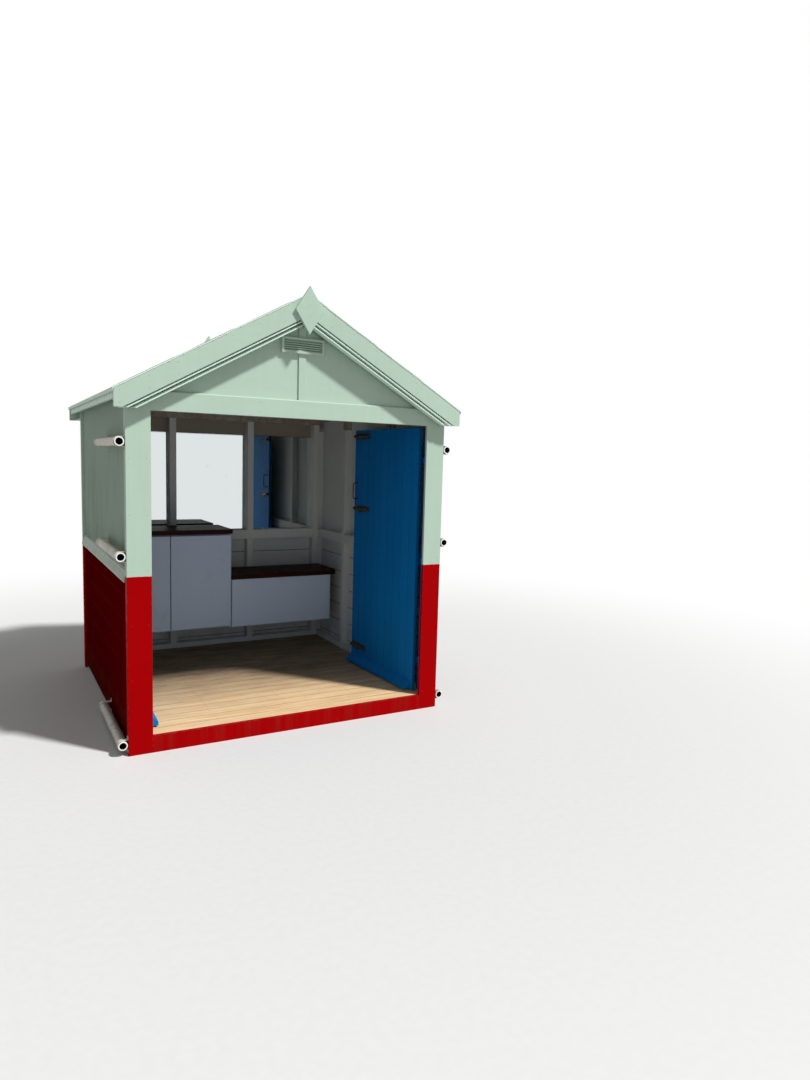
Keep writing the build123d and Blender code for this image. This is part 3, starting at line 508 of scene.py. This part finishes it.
def soil(place, tone, dirt, start, length, amount):
    """Lets rain draw dirt down from a height; returns the colour."""
    trails = place_group(runs, place, Colour=tone, Dirt=dirt, From=start, Length=length, Amount=amount)
    return trails["Colour"]


bright_red = colour(166, 0, 4)
# A darker copy of the red for the side and rear walls: painted shade.
painted_shade_red = colour(94, 1, 4)
old_primer = colour(188, 120, 110)
threshold_finish, place = start_material("threshold_paint")
tone, coat = lay_paint(
    place, bright_red, old_primer, (4.0, 60.0, 60.0), drift=0.07, chips=0.07, gloss=0.4, rubbed=0.6
)
tone = soil(place, tone, colour(96, 60, 50), start=0.1, length=0.2, amount=0.2)
close_material(tone, relief=0.0008, shine=0.03, **coat)
dress(threshold_finish, "threshold")

lower_board_count = 7
lower_foot = 0.02
groove_pitch = 0.137
splash_height = 0.3
inside_white = colour(214, 219, 215)
lower_finish, place = start_material("lower_board_paint")
height = split(place)[2]
boards = lengths_past(height, lower_foot, groove_pitch)
red_wall = tinge(painted_shade_red, board_chance(boards)["Value"], 0.5, colour(88, 1, 4))
tone, outer = two_faces(place, red_wall, inside_white)
under = blend_colour(outer, colour(186, 176, 160), old_primer)
tone, coat = lay_paint(place, tone, under, (4.0, 4.0, 70.0), drift=0.09, chips=0.04, gloss=0.5, rubbed=0.35)
joint = board_joint(boards, 0.47, 0.49)
# Outside, a paler red line at each joint is a painted highlight on the board's top edge; inside, the joints
# are darkened.
tone = tinge(tone, joint, times(outer, 0.16), colour(176, 70, 66))
tone = tinge(tone, joint, times(minus(1.0, outer), 0.75), colour(70, 74, 74))
splash = minus(1.0, calc("DIVIDE", height, splash_height), clamp=True)
mottled = blotches(place, 14.0, low=0.35, high=0.7, detail=6.0)
tone = tinge(tone, splash, times(mottled, 0.45), colour(92, 64, 52))
close_material(tone, relief=0.0008, shine=0.0, **coat)
dress(lower_finish, "left_lower_boards", "right_lower_boards", "rear_lower_boards")

clad_face = 0.957
stud_count = 4
stud_places = 0.587
first_stud = -0.88
rear_stud_inset = 0.06
rear_stud_places = stud_places - 0.04


def wall_rows(foot, step, count):
    """Nails up every stud of the side walls and the rear wall."""
    rise = (0, 0, step)
    rows = []
    for side in (-1, 1):
        start = (side * clad_face, first_stud, foot)
        rows.append(head_row(start, rise, count, (side, 0, 0), (0, stud_places, 0), stud_count))
    start = (first_stud + rear_stud_inset, clad_face, foot)
    return rows + [head_row(start, rise, count, (0, 1, 0), (rear_stud_places, 0, 0), stud_count)]


rows = wall_rows(lower_foot + groove_pitch / 2, groove_pitch, lower_board_count)
drive_heads(
    "lower_board_nails", "hut", lower_finish, rows, radius=0.0035, rise=0.0006
)


# The frame: planed studs, rails, door posts, rafters, ridge and purlins, nailed together and
# brushed with white satin, blue where they show beside the doors; high up they were left bare.
def within(value, reach):
    """1 where a coordinate is less than a reach from the hut's middle, else 0."""
    return calc("LESS_THAN", calc("ABSOLUTE", value), reach)


def satin(place, tone):
    """Brushes the frame's satin over a tone and ends the material."""
    tone, coat = lay_paint(
        place, tone, colour(176, 156, 130), (50.0, 50.0, 5.0), drift=0.06, chips=0.05, gloss=0.45
    )
    close_material(tone, relief=0.0006, **coat)


bare_from = 1.86
first_stud_rear = -0.85
stud_edge = 0.8955
door_edge_blue = colour(24, 120, 196)
frame_finish, place = start_material("white_frame_paint")
axes = split(place)
wood = show_grain(place, (20.0, 20.0, 20.0), colour(176, 168, 156), colour(142, 132, 118))
tone = blend_colour(above(axes[2], bare_from), inside_white, wood[0])
by_door = times(calc("LESS_THAN", axes[1], first_stud_rear), within(axes[0], stud_edge))
satin(place, blend_colour(by_door, tone, door_edge_blue))
dress(frame_finish, "side_wall_studs", "side_wall_rails", "rear_wall_rails",
      "gable_rafters", "ridge_and_purlins")

stud_finish, place = start_material("white_stud_paint")
satin(place, inside_white)
dress(stud_finish, "rear_wall_studs")

post_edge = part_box("right_door_post")[0].x + 0.0005
post_finish, place = start_material("door_post_paint")
tone = blend_colour(within(split(place)[0], post_edge), inside_white, door_edge_blue)
tone, coat = lay_paint(place, tone, colour(150, 150, 140), (60.0, 60.0, 4.0), drift=0.07, chips=0.05)
close_material(tone, relief=0.0006, **coat)
dress(post_finish, "left_door_post", "right_door_post")

lintel_finish, place = start_material("unpainted_lintel")
tone, figure = show_grain(place, (1.4, 30.0, 30.0), colour(150, 136, 116), colour(104, 90, 74))
close_material(tone, 0.75, figure, relief=0.0012)
dress(lintel_finish, "door_lintel")


# The upper walls and the gables with their louvre vents: smooth exterior boards, pale mint green
# outside and white or bare inside; dirt smears the walls, and algae sit above the sill.
mint = colour(186, 208, 191)
# A darker copy of the mint for the walls: painted shade.
shaded_mint = colour(164, 181, 168)
grey_undercoat = colour(150, 150, 134)
grey_algae = colour(112, 124, 108)
clip_rust = colour(88, 76, 62)
bare_above_mirrors = 1.806
near_rear_wall = 0.9
sill_top = 1.013
algae_height = 0.16
clip_foot_height = 1.67
clip_places = (-0.25, -0.62)
panel_finish, place = start_material("upper_wall_paint")
axes = split(place)
high = times(above(axes[2], bare_above_mirrors), above(axes[1], near_rear_wall))
inside = blend_colour(high, inside_white, colour(156, 148, 136))
tone, outer = two_faces(place, shaded_mint, inside)
tone, coat = lay_paint(place, tone, grey_undercoat, (5.0, 5.0, 3.0), drift=0.04, chips=0.0, gloss=0.5)
smeared = blotches(stretch(place, (6.0, 6.0, 2.6)), 1.0, low=0.42, high=0.7, detail=6.0)
smeared = times(smeared, minus(1.0, ramp_up(axes[2], 1.25, 1.75)))
tone = tinge(tone, times(smeared, outer), 0.3, grey_algae)
low_band = minus(1.0, lengths_past(axes[2], sill_top, algae_height), clamp=True)
moss = blotches(place, 22.0, low=0.4, high=0.62, detail=7.0, rough=0.7)
tone = tinge(tone, times(low_band, moss), times(outer, 0.5), grey_algae)
for clip_place in clip_places:
    narrow = minus(1.0, ramp_up(off_line(axes[1], clip_place), 0.004, 0.03))
    under_clip = times(narrow, times(outer, 0.6))
    tone = soil(place, tone, clip_rust, start=clip_foot_height, length=0.3, amount=under_clip)
close_material(tone, relief=0.0004, shine=0.0, **coat)
dress(panel_finish, "left_upper_panel", "right_upper_panel", "rear_upper_panel")

panel_foot = 1.07
panel_step = 0.195
panel_nails = 5
rows = wall_rows(panel_foot, panel_step, panel_nails)
drive_heads("upper_wall_nails", "hut", panel_finish, rows, radius=0.003, rise=0.0005)

gable_finish, place = start_material("gable_paint")
tone, outer = two_faces(place, mint, colour(150, 138, 120))
tone, coat = lay_paint(place, tone, grey_undercoat, (4.0, 50.0, 50.0), drift=0.04, chips=0.015, gloss=0.45)
tone = soil(place, tone, grey_algae, start=2.4, length=0.6, amount=0.06)
close_material(tone, relief=0.0005, shine=0.12, **coat)
dress(gable_finish, "front_gable", "rear_gable", "louvre_vents")


# The corner boards: planed boards, mint above the sill line and bright red below it. The red
# was brushed over the mint by hand, so the line wavers, and pale chips show on the corners.
left_paint_line = 0.979
right_paint_line = 0.964
paint_waver = 0.006
corner_finish, place = start_material("corner_board_paint")
axes = split(place)
waver = times(spread(place, 26.0, 3.0, 0.5), paint_waver)
lowered = times(above(axes[0], 0.0), left_paint_line - right_paint_line)
line = minus(left_paint_line - paint_waver / 2, lowered)
lower = calc("LESS_THAN", axes[2], plus(line, waver))
tone = blend_colour(lower, mint, bright_red)
under = blend_colour(lower, colour(160, 160, 146), old_primer)
chips = plus(times(lower, 0.03), 0.02)
tone, coat = lay_paint(place, tone, under, (60.0, 60.0, 4.0), drift=0.05, chips=chips, rubbed=0.5)
tone = soil(place, tone, colour(120, 112, 96), start=1.95, length=0.9, amount=0.05)
close_material(tone, relief=0.0008, shine=0.03, **coat)
dress(corner_finish, "front_left_corner_board", "front_right_corner_board",
      "rear_left_corner_board", "rear_right_corner_board")

corner_face = 0.975
nail_in = 0.02
nail_pair = 0.087
corner_nails = 7
corner_nail_rise = (0, 0, 0.297)
corner_nail_foot = 0.12
rows = []
edge = corner_face - nail_in
for side in (-1, 1):
    for end in (-1, 1):
        on_front = (side * edge, end * corner_face, corner_nail_foot)
        pair = (-side * nail_pair, 0, 0)
        rows.append(head_row(on_front, corner_nail_rise, corner_nails, (0, end, 0), pair, 2))
        on_side = (side * corner_face, end * edge, corner_nail_foot)
        rows.append(head_row(on_side, corner_nail_rise, corner_nails, (side, 0, 0)))
drive_heads(
    "corner_board_nails", "hut", corner_finish, rows, radius=0.0035, rise=0.0007
)


# The trim: header boards, barge boards with their mouldings, eaves boards, finials and the sill
# round the walls, all softwood in the same mint, brushed lengthwise, with grey dirt on the ledges.
# A painted highlight runs along their arrises; the moulding strips and eaves boards are painted
# paler as painted highlights, and the moulding's recess darker as painted shade.
weathered_wood = colour(156, 148, 128)
trim_brush = (6.0, 40.0, 40.0)
trim_finish, place = start_material("mint_trim_paint")
tone, coat = lay_paint(
    place, mint, weathered_wood, trim_brush, drift=0.05, chips=0.03, gloss=0.4, rubbed=0.3, edge_highlight=0.35
)
tone = soil(place, tone, grey_algae, start=2.6, length=1.6, amount=0.05)
tone = tinge(
    tone, blotches(place, 9.0, low=0.6, high=0.78, detail=8.0, rough=0.75), 0.2, colour(150, 140, 116)
)
close_material(tone, relief=0.0007, shine=0.12, **coat)
dress(trim_finish, "header_boards", "barge_boards", "gable_finials")

recess_face = 1.0065
recess_side = corner_face - 0.001
edge_finish, place = start_material("moulding_paint")
axes = split(place)
# The moulding's face board between bead and batten is painted darker as painted shade; the bead, batten and
# eaves boards are painted paler as a painted highlight.
recess_shade = times(within(axes[1], recess_face), within(axes[0], recess_side))
tone = blend_colour(recess_shade, colour(214, 236, 221), colour(150, 174, 160))
tone, coat = lay_paint(
    place, tone, weathered_wood, trim_brush, drift=0.04, chips=0.02, gloss=0.4, rubbed=0.2, edge_highlight=0.8
)
close_material(tone, relief=0.0005, shine=0.12, **coat)
dress(edge_finish, "gable_mouldings", "eaves_boards")

barge_low, barge_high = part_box("barge_boards")
ridge_height = barge_high.z
barge_face = barge_high.y
roof_pitch = math.radians(29.5)
slope = math.tan(roof_pitch)


def roof_line(x):
    """The height of the barge boards' upper edge at a distance x from the ridge."""
    return ridge_height - abs(x) * slope


strip_back = 1.004
strip_mitre = 0.0005
strip_places = ((0.1285, 0.1375, barge_face - 0.004), (0.1525, 0.1615, barge_face - 0.009))
strips = bmesh.new()
for end in (-1, 1):
    for side in (-1, 1):
        for high, low, out in strip_places:
            for corner in bmesh.ops.create_cube(strips, size=2.0)["verts"]:
                drop = high if corner.co.z > 0 else low
                foot = (ridge_height - drop - barge_low.z) / slope
                reach = foot if corner.co.x > 0 else strip_mitre
                face = out if corner.co.y > 0 else strip_back
                corner.co = (side * reach, end * face, roof_line(reach) - drop)
bmesh.ops.recalc_face_normals(strips, faces=strips.faces)
raking_strips = as_piece("raking_strips", strips, edge_finish)
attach(raking_strips, "hut")

header_first, header_nail_foot = -0.78, 1.883
header_step, header_pair = 0.26, 0.052
finial_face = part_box("gable_finials")[1].y
finial_nail_foot, finial_pair = 2.42, 0.06
barge_nail_in, barge_nail_drop = 0.14, 0.03
barge_step, barge_pair = 0.145, 0.06
trim_nails = 7
rows = []
for end in (-1, 1):
    facing = (0, end, 0)
    start = (header_first, end * corner_face, header_nail_foot)
    rows.append(head_row(start, (header_step, 0, 0), trim_nails, facing, (0, 0, header_pair), 2))
    rows.append(head_row((0, end * finial_face, finial_nail_foot), (0, 0, finial_pair), 2, facing))
    for side in (-1, 1):
        start = (side * barge_nail_in, end * barge_face, roof_line(barge_nail_in) - barge_nail_drop)
        down_slope = (side * barge_step, 0, -barge_step * slope)
        rows.append(head_row(start, down_slope, trim_nails, facing, (0, 0, -barge_pair), 2))
drive_heads("trim_nails", "hut", trim_finish, rows, radius=0.0035, rise=0.0007)

sill_finish, place = start_material("sill_paint")
tone, coat = lay_paint(
    place, colour(190, 204, 192), colour(150, 142, 126), (5.0, 5.0, 60.0), drift=0.08, chips=0.05, edge_highlight=0.6
)
tone = tinge(
    tone, blotches(place, 18.0, low=0.42, high=0.7, detail=7.0, rough=0.7), 0.3, colour(120, 122, 108)
)
close_material(tone, relief=0.0008, shine=0.08, **coat)
dress(sill_finish, "wall_sills")


# The roof: boards under three courses of mineral felt and a ridge strip, painted mint many
# times over, so that soft wrinkles and the laps show; the edges are turned down and tacked.
felt_side_edge = 1.0425
felt_end_edge = barge_face - 0.0004
roof_finish, place = start_material("painted_roof_felt")
axes = split(place)
tone, coat = lay_paint(
    place, colour(164, 184, 169), colour(150, 156, 142), (12.0, 40.0, 12.0), drift=0.06, chips=0.02,
    gloss=0.5, rubbed=0.2,
)
tone = tinge(
    tone, blotches(place, 3.2, low=0.5, high=0.78, detail=8.0, rough=0.65), 0.3, colour(150, 162, 142)
)
tone = tinge(tone, blotches(place, 150.0, low=0.55, high=0.75, detail=3.0), 0.2, colour(128, 138, 122))
# The felt's turned-down edges and their tacks are painted pale: a painted highlight.
over_side = above(calc("ABSOLUTE", axes[0]), felt_side_edge)
over_end = above(calc("ABSOLUTE", axes[1]), felt_end_edge)
tone = tinge(tone, calc("MAXIMUM", over_side, over_end), 0.9, highlight_mint)
grit = plus(coat["height"], times(spread(place, 220.0, 2.0), 0.6))
close_material(tone, coat["rough"], grit, relief=0.0006, shine=0.1)

deck_finish, place = start_material("roof_deck_underside")
tone, figure = show_grain(place, (30.0, 1.4, 30.0), colour(168, 152, 126), colour(124, 104, 80))
tone = blend_colour(above(reach_out(place), clad_face), tone, mint)
close_material(tone, 0.7, figure, relief=0.0008)
dress(deck_finish, "left_roof_slope", "right_roof_slope")

felt_thickness = 0.0026
felt_bed = 0.0002
felt_lap = 0.07
felt_edges = (0.11, 0.43, 0.74)
felt_side = 1.0434
felt_end = barge_face + 0.0003
felt_side_drop = 0.019
felt_end_drop = 0.006
broad_wrinkle = 0.0009
fine_wrinkle = 0.5
column_step = 0.024
column_count = 44
column_gap = 0.004
lap_step = 0.0006
felt_columns = {round(column_step * k, 4) for k in range(column_count)}
felt_columns |= {edge + aside for edge in felt_edges for aside in (-lap_step, 0.0)}
felt_columns = [x for x in sorted(felt_columns) if x < felt_side - column_gap] + [felt_side]
felt_across = [-x for x in reversed(felt_columns)] + felt_columns[1:]
felt_row_count = 84
felt_along = [felt_end * (2 * k / felt_row_count - 1) for k in range(felt_row_count + 1)]


def felt_rise(x, y):
    """How far the felt's top stands above the boards: its thickness, the laps and the wrinkles."""
    reach = abs(x)
    rise = felt_thickness
    for edge in felt_edges:
        if reach <= edge:
            rise += felt_thickness * max(0.0, 1 - max(0.0, edge - reach - felt_lap) / felt_lap)
    broad = noise.noise(Vector((x * 3.0, y * 7.0, 4.0)))
    fine = noise.noise(Vector((x * 9.0, y * 15.0, 9.0)))
    return rise + broad_wrinkle * (broad + fine_wrinkle * fine)


def turned_edges(places, out):
    """The places of a skin's lines, with the first and the last doubled for the turned-down edge."""
    return [places[0] - out] * 2 + places[1:-1] + [places[-1] + out] * 2


def rim(skin):
    """The vertices round the edge of a skin, in order."""
    last = len(skin) - 1
    ends = len(skin[0]) - 1
    return ([skin[i][0] for i in range(last)] + [skin[last][j] for j in range(ends)]
            + [skin[i][ends] for i in range(last, 0, -1)] + [skin[0][j] for j in range(ends, 0, -1)])


felt = bmesh.new()
rims = []
for outer in (True, False):
    across_out = turned_edges(felt_across, felt_thickness if outer else 0.0)
    along_out = turned_edges(felt_along, felt_thickness if outer else 0.0)
    skin = []
    for i, x in enumerate(across_out):
        side_drop = felt_side_drop if i in (0, len(across_out) - 1) else 0.0
        line = []
        for j, y in enumerate(along_out):
            end_drop = felt_end_drop if j in (0, len(along_out) - 1) else 0.0
            top = roof_line(x) + (felt_rise(x, y) if outer else felt_bed)
            line.append(felt.verts.new((x, y, top - max(side_drop, end_drop))))
        skin.append(line)
    for i in range(len(skin) - 1):
        for j in range(len(skin[0]) - 1):
            corners = (skin[i][j], skin[i + 1][j], skin[i + 1][j + 1], skin[i][j + 1])
            felt.faces.new(corners if outer else corners[::-1])
    rims.append(rim(skin))
around, below = rims
for k in range(len(around)):
    after = (k + 1) % len(around)
    felt.faces.new((around[k], below[k], below[after], around[after]))
bmesh.ops.recalc_face_normals(felt, faces=felt.faces)
roof_felt = as_piece("roof_felt", felt, roof_finish)
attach(roof_felt, "hut")

tack_step = 0.075
tack_count = 28
tack_start = -1.01
end_tack_count = 13
end_tack_in, end_tack_drop = 0.09, 0.003
eave_tack_drop = 0.008
lap_tack_in = 0.018
rows = []
for side in (-1, 1):
    along = (0, tack_step, 0)
    start = (side * (felt_side + felt_thickness), tack_start, roof_line(felt_side) - eave_tack_drop)
    rows.append(head_row(start, along, tack_count, (side, 0, 0)))
    away = Vector((side * math.sin(roof_pitch), 0, math.cos(roof_pitch)))
    for edge in felt_edges:
        at = edge - lap_tack_in
        top = roof_line(at) + 2 * felt_thickness + felt_bed
        rows.append(head_row((side * at, tack_start, top), along, tack_count, away))
    down_slope = (side * tack_step, 0, -tack_step * slope)
    for end in (-1, 1):
        height = roof_line(end_tack_in) - end_tack_drop
        start = (side * end_tack_in, end * (felt_end + felt_thickness), height)
        rows.append(head_row(start, down_slope, end_tack_count, (0, end, 0)))
drive_heads("roof_tacks", "hut", roof_finish, rows, radius=0.003, rise=0.0012)


# The open tubes on the side walls: lengths of white plastic pipe held by saddle clips and
# screws, yellowed and splashed; brooms and poles are pushed into them. Their bores are painted
# near black as painted shade.
tube_radius = 0.025
tube_bore = 0.0185
tube_front = -0.975
tube_length = 0.75
tube_sides = 48
tube_round = 0.0008
tube_lip = 0.003
tube_gap = 0.004
tube_across = corner_face + tube_gap + tube_radius
tube_heights = {"low_pipes": (0.062, 0.079), "middle_pipes": (1.087, 1.104), "high_pipes": (1.690, 1.707)}

rim_highlight_depth = 0.0012
pipe_finish, place = start_material("weathered_pipe")
cloud = spread(place, 6.0, 4.0)
specks = spread(place, 40.0, 6.0, 0.7)
tone = blend_colour(cloud, colour(220, 219, 210), colour(186, 179, 162))
tone = tinge(tone, ramp_up(specks, 0.46, 0.68), 0.65, colour(118, 108, 90))
# The front rim is painted near white: a painted highlight.
rim_highlight = calc("LESS_THAN", split(place)[1], tube_front + rim_highlight_depth)
tone = blend_colour(rim_highlight, tone, colour(246, 246, 240))
close_material(tone, plus(times(cloud, 0.25), 0.35), specks, relief=0.0004, shine=0.3)

# The bores are painted near black: painted shade inside the tubes.
bore_shade_finish, place = start_material("pipe_bore_painted_shade")
bore_shade_mottle = spread(place, 30.0, 5.0)
tone = blend_colour(bore_shade_mottle, colour(58, 54, 48), colour(30, 28, 26))
close_material(tone, 0.9, bore_shade_mottle, relief=0.0004, shine=0.05)


def tube_wall(radius, eased):
    """One side of a tube's wall, from the front end to the rear end, with eased edges."""
    return [(eased, 0.0), (radius, tube_round), (radius, tube_lip), (radius, tube_length - tube_lip),
            (radius, tube_length - tube_round), (eased, tube_length)]


tube_profile = tube_wall(tube_radius, tube_radius - tube_round)
tube_profile += tube_wall(tube_bore, tube_bore + tube_round)[::-1]
bore_edges = (7, 8, 9)
clip_half = 0.0015
clip_wide = 0.026
clip_foot = 0.044
clip_reach = tube_radius + clip_half
clip_steps = 16
clip_seats = ((-0.963, corner_face), (-0.263, clad_face))
clip_screw_apart = 0.072


def ribbon_sides(path, half):
    """Both sides of a bent strip, offset square to its middle line."""
    left, right = [], []
    for k, point in enumerate(path):
        before = (point - path[k - 1]).normalized() if k else (path[1] - point).normalized()
        after = (path[k + 1] - point).normalized() if k + 1 < len(path) else before
        middle = (before + after).normalized()
        out = Vector((-middle.y, middle.x)) * half / max(0.5, middle.dot(before))
        left.append(point + out)
        right.append(point - out)
    return left, right


for node, heights in tube_heights.items():
    tubes = bmesh.new()
    screw_rows = []
    for side, level in zip((-1, 1), heights):
        rings = []
        for k in range(tube_sides):
            angle = 2 * math.pi * k / tube_sides
            out, up = math.cos(angle), math.sin(angle)
            rings.append([
                tubes.verts.new((side * tube_across + r * out, tube_front + y, level + r * up))
                for r, y in tube_profile
            ])
        for k in range(tube_sides):
            here, there = rings[k], rings[(k + 1) % tube_sides]
            for p in range(len(tube_profile)):
                q = (p + 1) % len(tube_profile)
                face = tubes.faces.new((here[p], here[q], there[q], there[p]))
                face.smooth = True
                face.material_index = int(p in bore_edges)
        for clip_y, seat in clip_seats:
            middle = tube_across - seat
            turns = (math.pi * k / clip_steps for k in range(clip_steps + 1))
            bend = [Vector((middle + clip_reach * math.sin(a), -clip_reach * math.cos(a))) for a in turns]
            path = [Vector((clip_half, -clip_foot)), Vector((clip_half, -clip_reach)), *bend,
                    Vector((clip_half, clip_reach)), Vector((clip_half, clip_foot))]
            left, right = ribbon_sides(path, clip_half)
            outline = left + right[::-1]
            loops = [
                [tubes.verts.new((side * (seat + p.x), clip_y + y, level + p.y)) for p in outline]
                for y in (0.0, clip_wide)
            ]
            count = len(outline)
            for k in range(count):
                after = (k + 1) % count
                tubes.faces.new((loops[0][k], loops[0][after], loops[1][after], loops[1][k]))
            for loop in loops:
                for k in range(len(left) - 1):
                    tubes.faces.new((loop[k], loop[k + 1], loop[count - 2 - k], loop[count - 1 - k]))
            start = (side * (seat + 2 * clip_half), clip_y + clip_wide / 2, level - clip_screw_apart / 2)
            screw_rows.append(head_row(start, (0, 0, clip_screw_apart), 2, (side, 0, 0)))
    bmesh.ops.recalc_face_normals(tubes, faces=tubes.faces)
    piece = as_piece("smooth_" + node, tubes, pipe_finish, bore_shade_finish)
    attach(piece, "hut")
    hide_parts(node)
    name = node.replace("pipes", "clip_screws")
    drive_heads(
        name, "hut", nail_finish, screw_rows, radius=0.004, rise=0.0016, wander=0.0
    )


# The door leaves: tongued and grooved boards on ledges and braces, in mid blue oil paint on
# both faces, with a weatherboard across the foot of each; the strap hinges are painted over.
door_blue = colour(8, 122, 194)
leaf_low, leaf_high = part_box("right_door_leaf")
leaf_board_count = 9
leaf_board = (leaf_high.y - leaf_low.y) / leaf_board_count
leaf_finish, place = start_material("door_leaf_paint")
boards = lengths_past(split(place)[1], leaf_low.y, leaf_board)
tone = tinge(door_blue, board_chance(boards)["Value"], 0.3, colour(5, 108, 178))
tone, coat = lay_paint(place, tone, colour(96, 136, 160), (70.0, 70.0, 3.0), drift=0.07, rubbed=0.3)
tone = soil(place, tone, colour(60, 90, 104), start=0.5, length=0.5, amount=0.12)
tone = tinge(tone, board_joint(boards, 0.45, 0.49), 0.45, colour(2, 44, 84))
close_material(tone, relief=0.0005, shine=0.06, **coat)
dress(leaf_finish, "left_door_leaf", "right_door_leaf", "left_door_drip", "right_door_drip")

hinge_finish, place = start_material("painted_over_hinges")
tone, coat = lay_paint(
    place, door_blue, colour(84, 62, 48), (30.0, 30.0, 30.0), drift=0.08, chips=0.06, gloss=0.4, rubbed=0.6
)
close_material(tone, relief=0.0005, shine=0.06, **coat)
dress(hinge_finish, "left_door_straps", "right_door_straps", "hinge_plates")

pin_x, pin_y = 0.887, -0.899
rest_turn = math.radians(2)
leaf_start, leaf_end = -0.891, -0.017
leaf_face, leaf_back = 0.841, 0.882
ledge_heights = (0.315, 0.976, 1.637)
board_step = (leaf_end - leaf_start) / leaf_board_count
nail_apart = 0.05
strap_screws = 4
strap_screw_start = leaf_start + 0.05
strap_screw_step = 0.075


def leaf_row(side, start, step, count, outward, row_step=(0, 0, 0), row_count=1):
    """A row of heads on a leaf that lies flat along the wall, turned to where the open leaf stands."""
    turn = Matrix.Rotation(side * rest_turn, 3, "Z")
    pin = Vector((side * pin_x, pin_y, 0))
    x, y, z = start
    start = turn @ (Vector((side * x, y, z)) - pin) + pin
    facing = turn @ Vector((side * outward, 0, 0))
    return head_row(start, turn @ Vector((0, step, 0)), count, facing, row_step, row_count)


for side, word in ((-1, "left"), (1, "right")):
    body = word + "_door"
    rows = [
        leaf_row(side, (leaf_face, leaf_start + board_step / 2, level - nail_apart / 2), board_step,
                 leaf_board_count, -1, (0, 0, nail_apart), 2)
        for level in ledge_heights
    ]
    drive_heads(word + "_leaf_nails", body, leaf_finish, rows, radius=0.003, rise=0.0005)
    rows = [
        leaf_row(side, (leaf_back, strap_screw_start, level), strap_screw_step, strap_screws, 1)
        for level in ledge_heights
    ]
    drive_heads(
        word + "_strap_screws", body, hinge_finish, rows, radius=0.0045, rise=0.0012,
        wander=0.0,
    )


# The ironmongery: padlock bolts and their keeps, and a bent pull, all galvanised steel that has
# gone dull and rusts in patches.
steel_finish, place = start_material("dull_galvanised_steel")
spangle = next_node("ShaderNodeTexVoronoi", {"Vector": place, "Scale": 120.0})["Distance"]
zinc = blend_colour(spangle, colour(66, 69, 67), colour(96, 98, 95))
blotch = spread(place, 34.0, 7.0, 0.7)
rusty = ramp_up(blotch, 0.46, 0.62)
metallic = minus(0.75, times(rusty, 0.7), clamp=True)
matt = plus(0.45, times(rusty, 0.4))
tone = tinge(zinc, rusty, 0.6, colour(62, 42, 30))
close_material(tone, matt, blotch, relief=0.0005, metal=metallic)
dress(steel_finish, "bolts_and_handle", "bolt_keeps")

bolt_heights = (0.235, 1.27, 1.80)
screw_apart = 0.033
plate_face = leaf_face - 0.003
bolt_screws = (1, "right_bolt", "right_door", -0.2, 0.132)
keep_screws = (-1, "left_keep", "left_door", -0.078, 0.018)
for side, word, body, first, step in (bolt_screws, keep_screws):
    rows = [
        leaf_row(side, (plate_face, first, level - screw_apart / 2), step, 2, -1, (0, 0, screw_apart), 2)
        for level in bolt_heights
    ]
    drive_heads(
        word + "_screws", body, nail_finish, rows, radius=0.004, rise=0.0012, wander=0.0
    )


# The mirrors: three silvered glass panes fixed to the rear wall between the studs, with a few
# dull spots where salt has reached the silver.
mirror_finish, place = start_material("silvered_glass")
foxed = blotches(place, 14.0, low=0.66, high=0.74, detail=8.0, rough=0.75)
silver = blend_colour(foxed, colour(222, 228, 228), colour(120, 116, 106))
close_material(silver, plus(0.03, times(foxed, 0.4)), metal=1.0)
dress(mirror_finish, "mirror_panes")


# The wall cupboard and the bench box: boards in plain satin white, tinted a little blue as
# painted cool skylight in shade, cleaner than the walls; the cupboard's two doors turn on pins.
cupboard_finish, place = start_material("cupboard_paint")
# The blue in this white is painted cool skylight in shade.
tone, coat = lay_paint(
    place, colour(200, 218, 238), colour(170, 170, 160), (40.0, 40.0, 5.0), drift=0.03, chips=0.0,
    gloss=0.35, rubbed=0.15,
)
tone = tinge(
    tone, blotches(place, 7.0, low=0.55, high=0.75, detail=8.0, rough=0.7), 0.2, colour(146, 152, 160)
)
close_material(tone, relief=0.0003, shine=0.25, **coat)
dress(cupboard_finish, "cupboard_box", "left_cupboard_door", "right_cupboard_door", "bench_box")


# The worktop and the seat of the bench: thick planed boards stained a dark reddish brown and
# varnished, glossy where they aren't rubbed.
varnish, place = start_material("dark_varnished_boards")
tone, figure = show_grain(place, (1.8, 36.0, 36.0), colour(58, 26, 19), colour(30, 13, 10))
rub = place_group(arris, place, Reach=arris_reach, Amount=0.4)
tone = blend_colour(rub["Mask"], tone, colour(104, 66, 46))
gloss = plus(0.35, times(spread(place, 5.0), 0.25))
close_material(tone, gloss, figure, relief=0.0004, facing=rub["Normal"], shine=0.05)
dress(varnish, "worktop", "bench_seat")
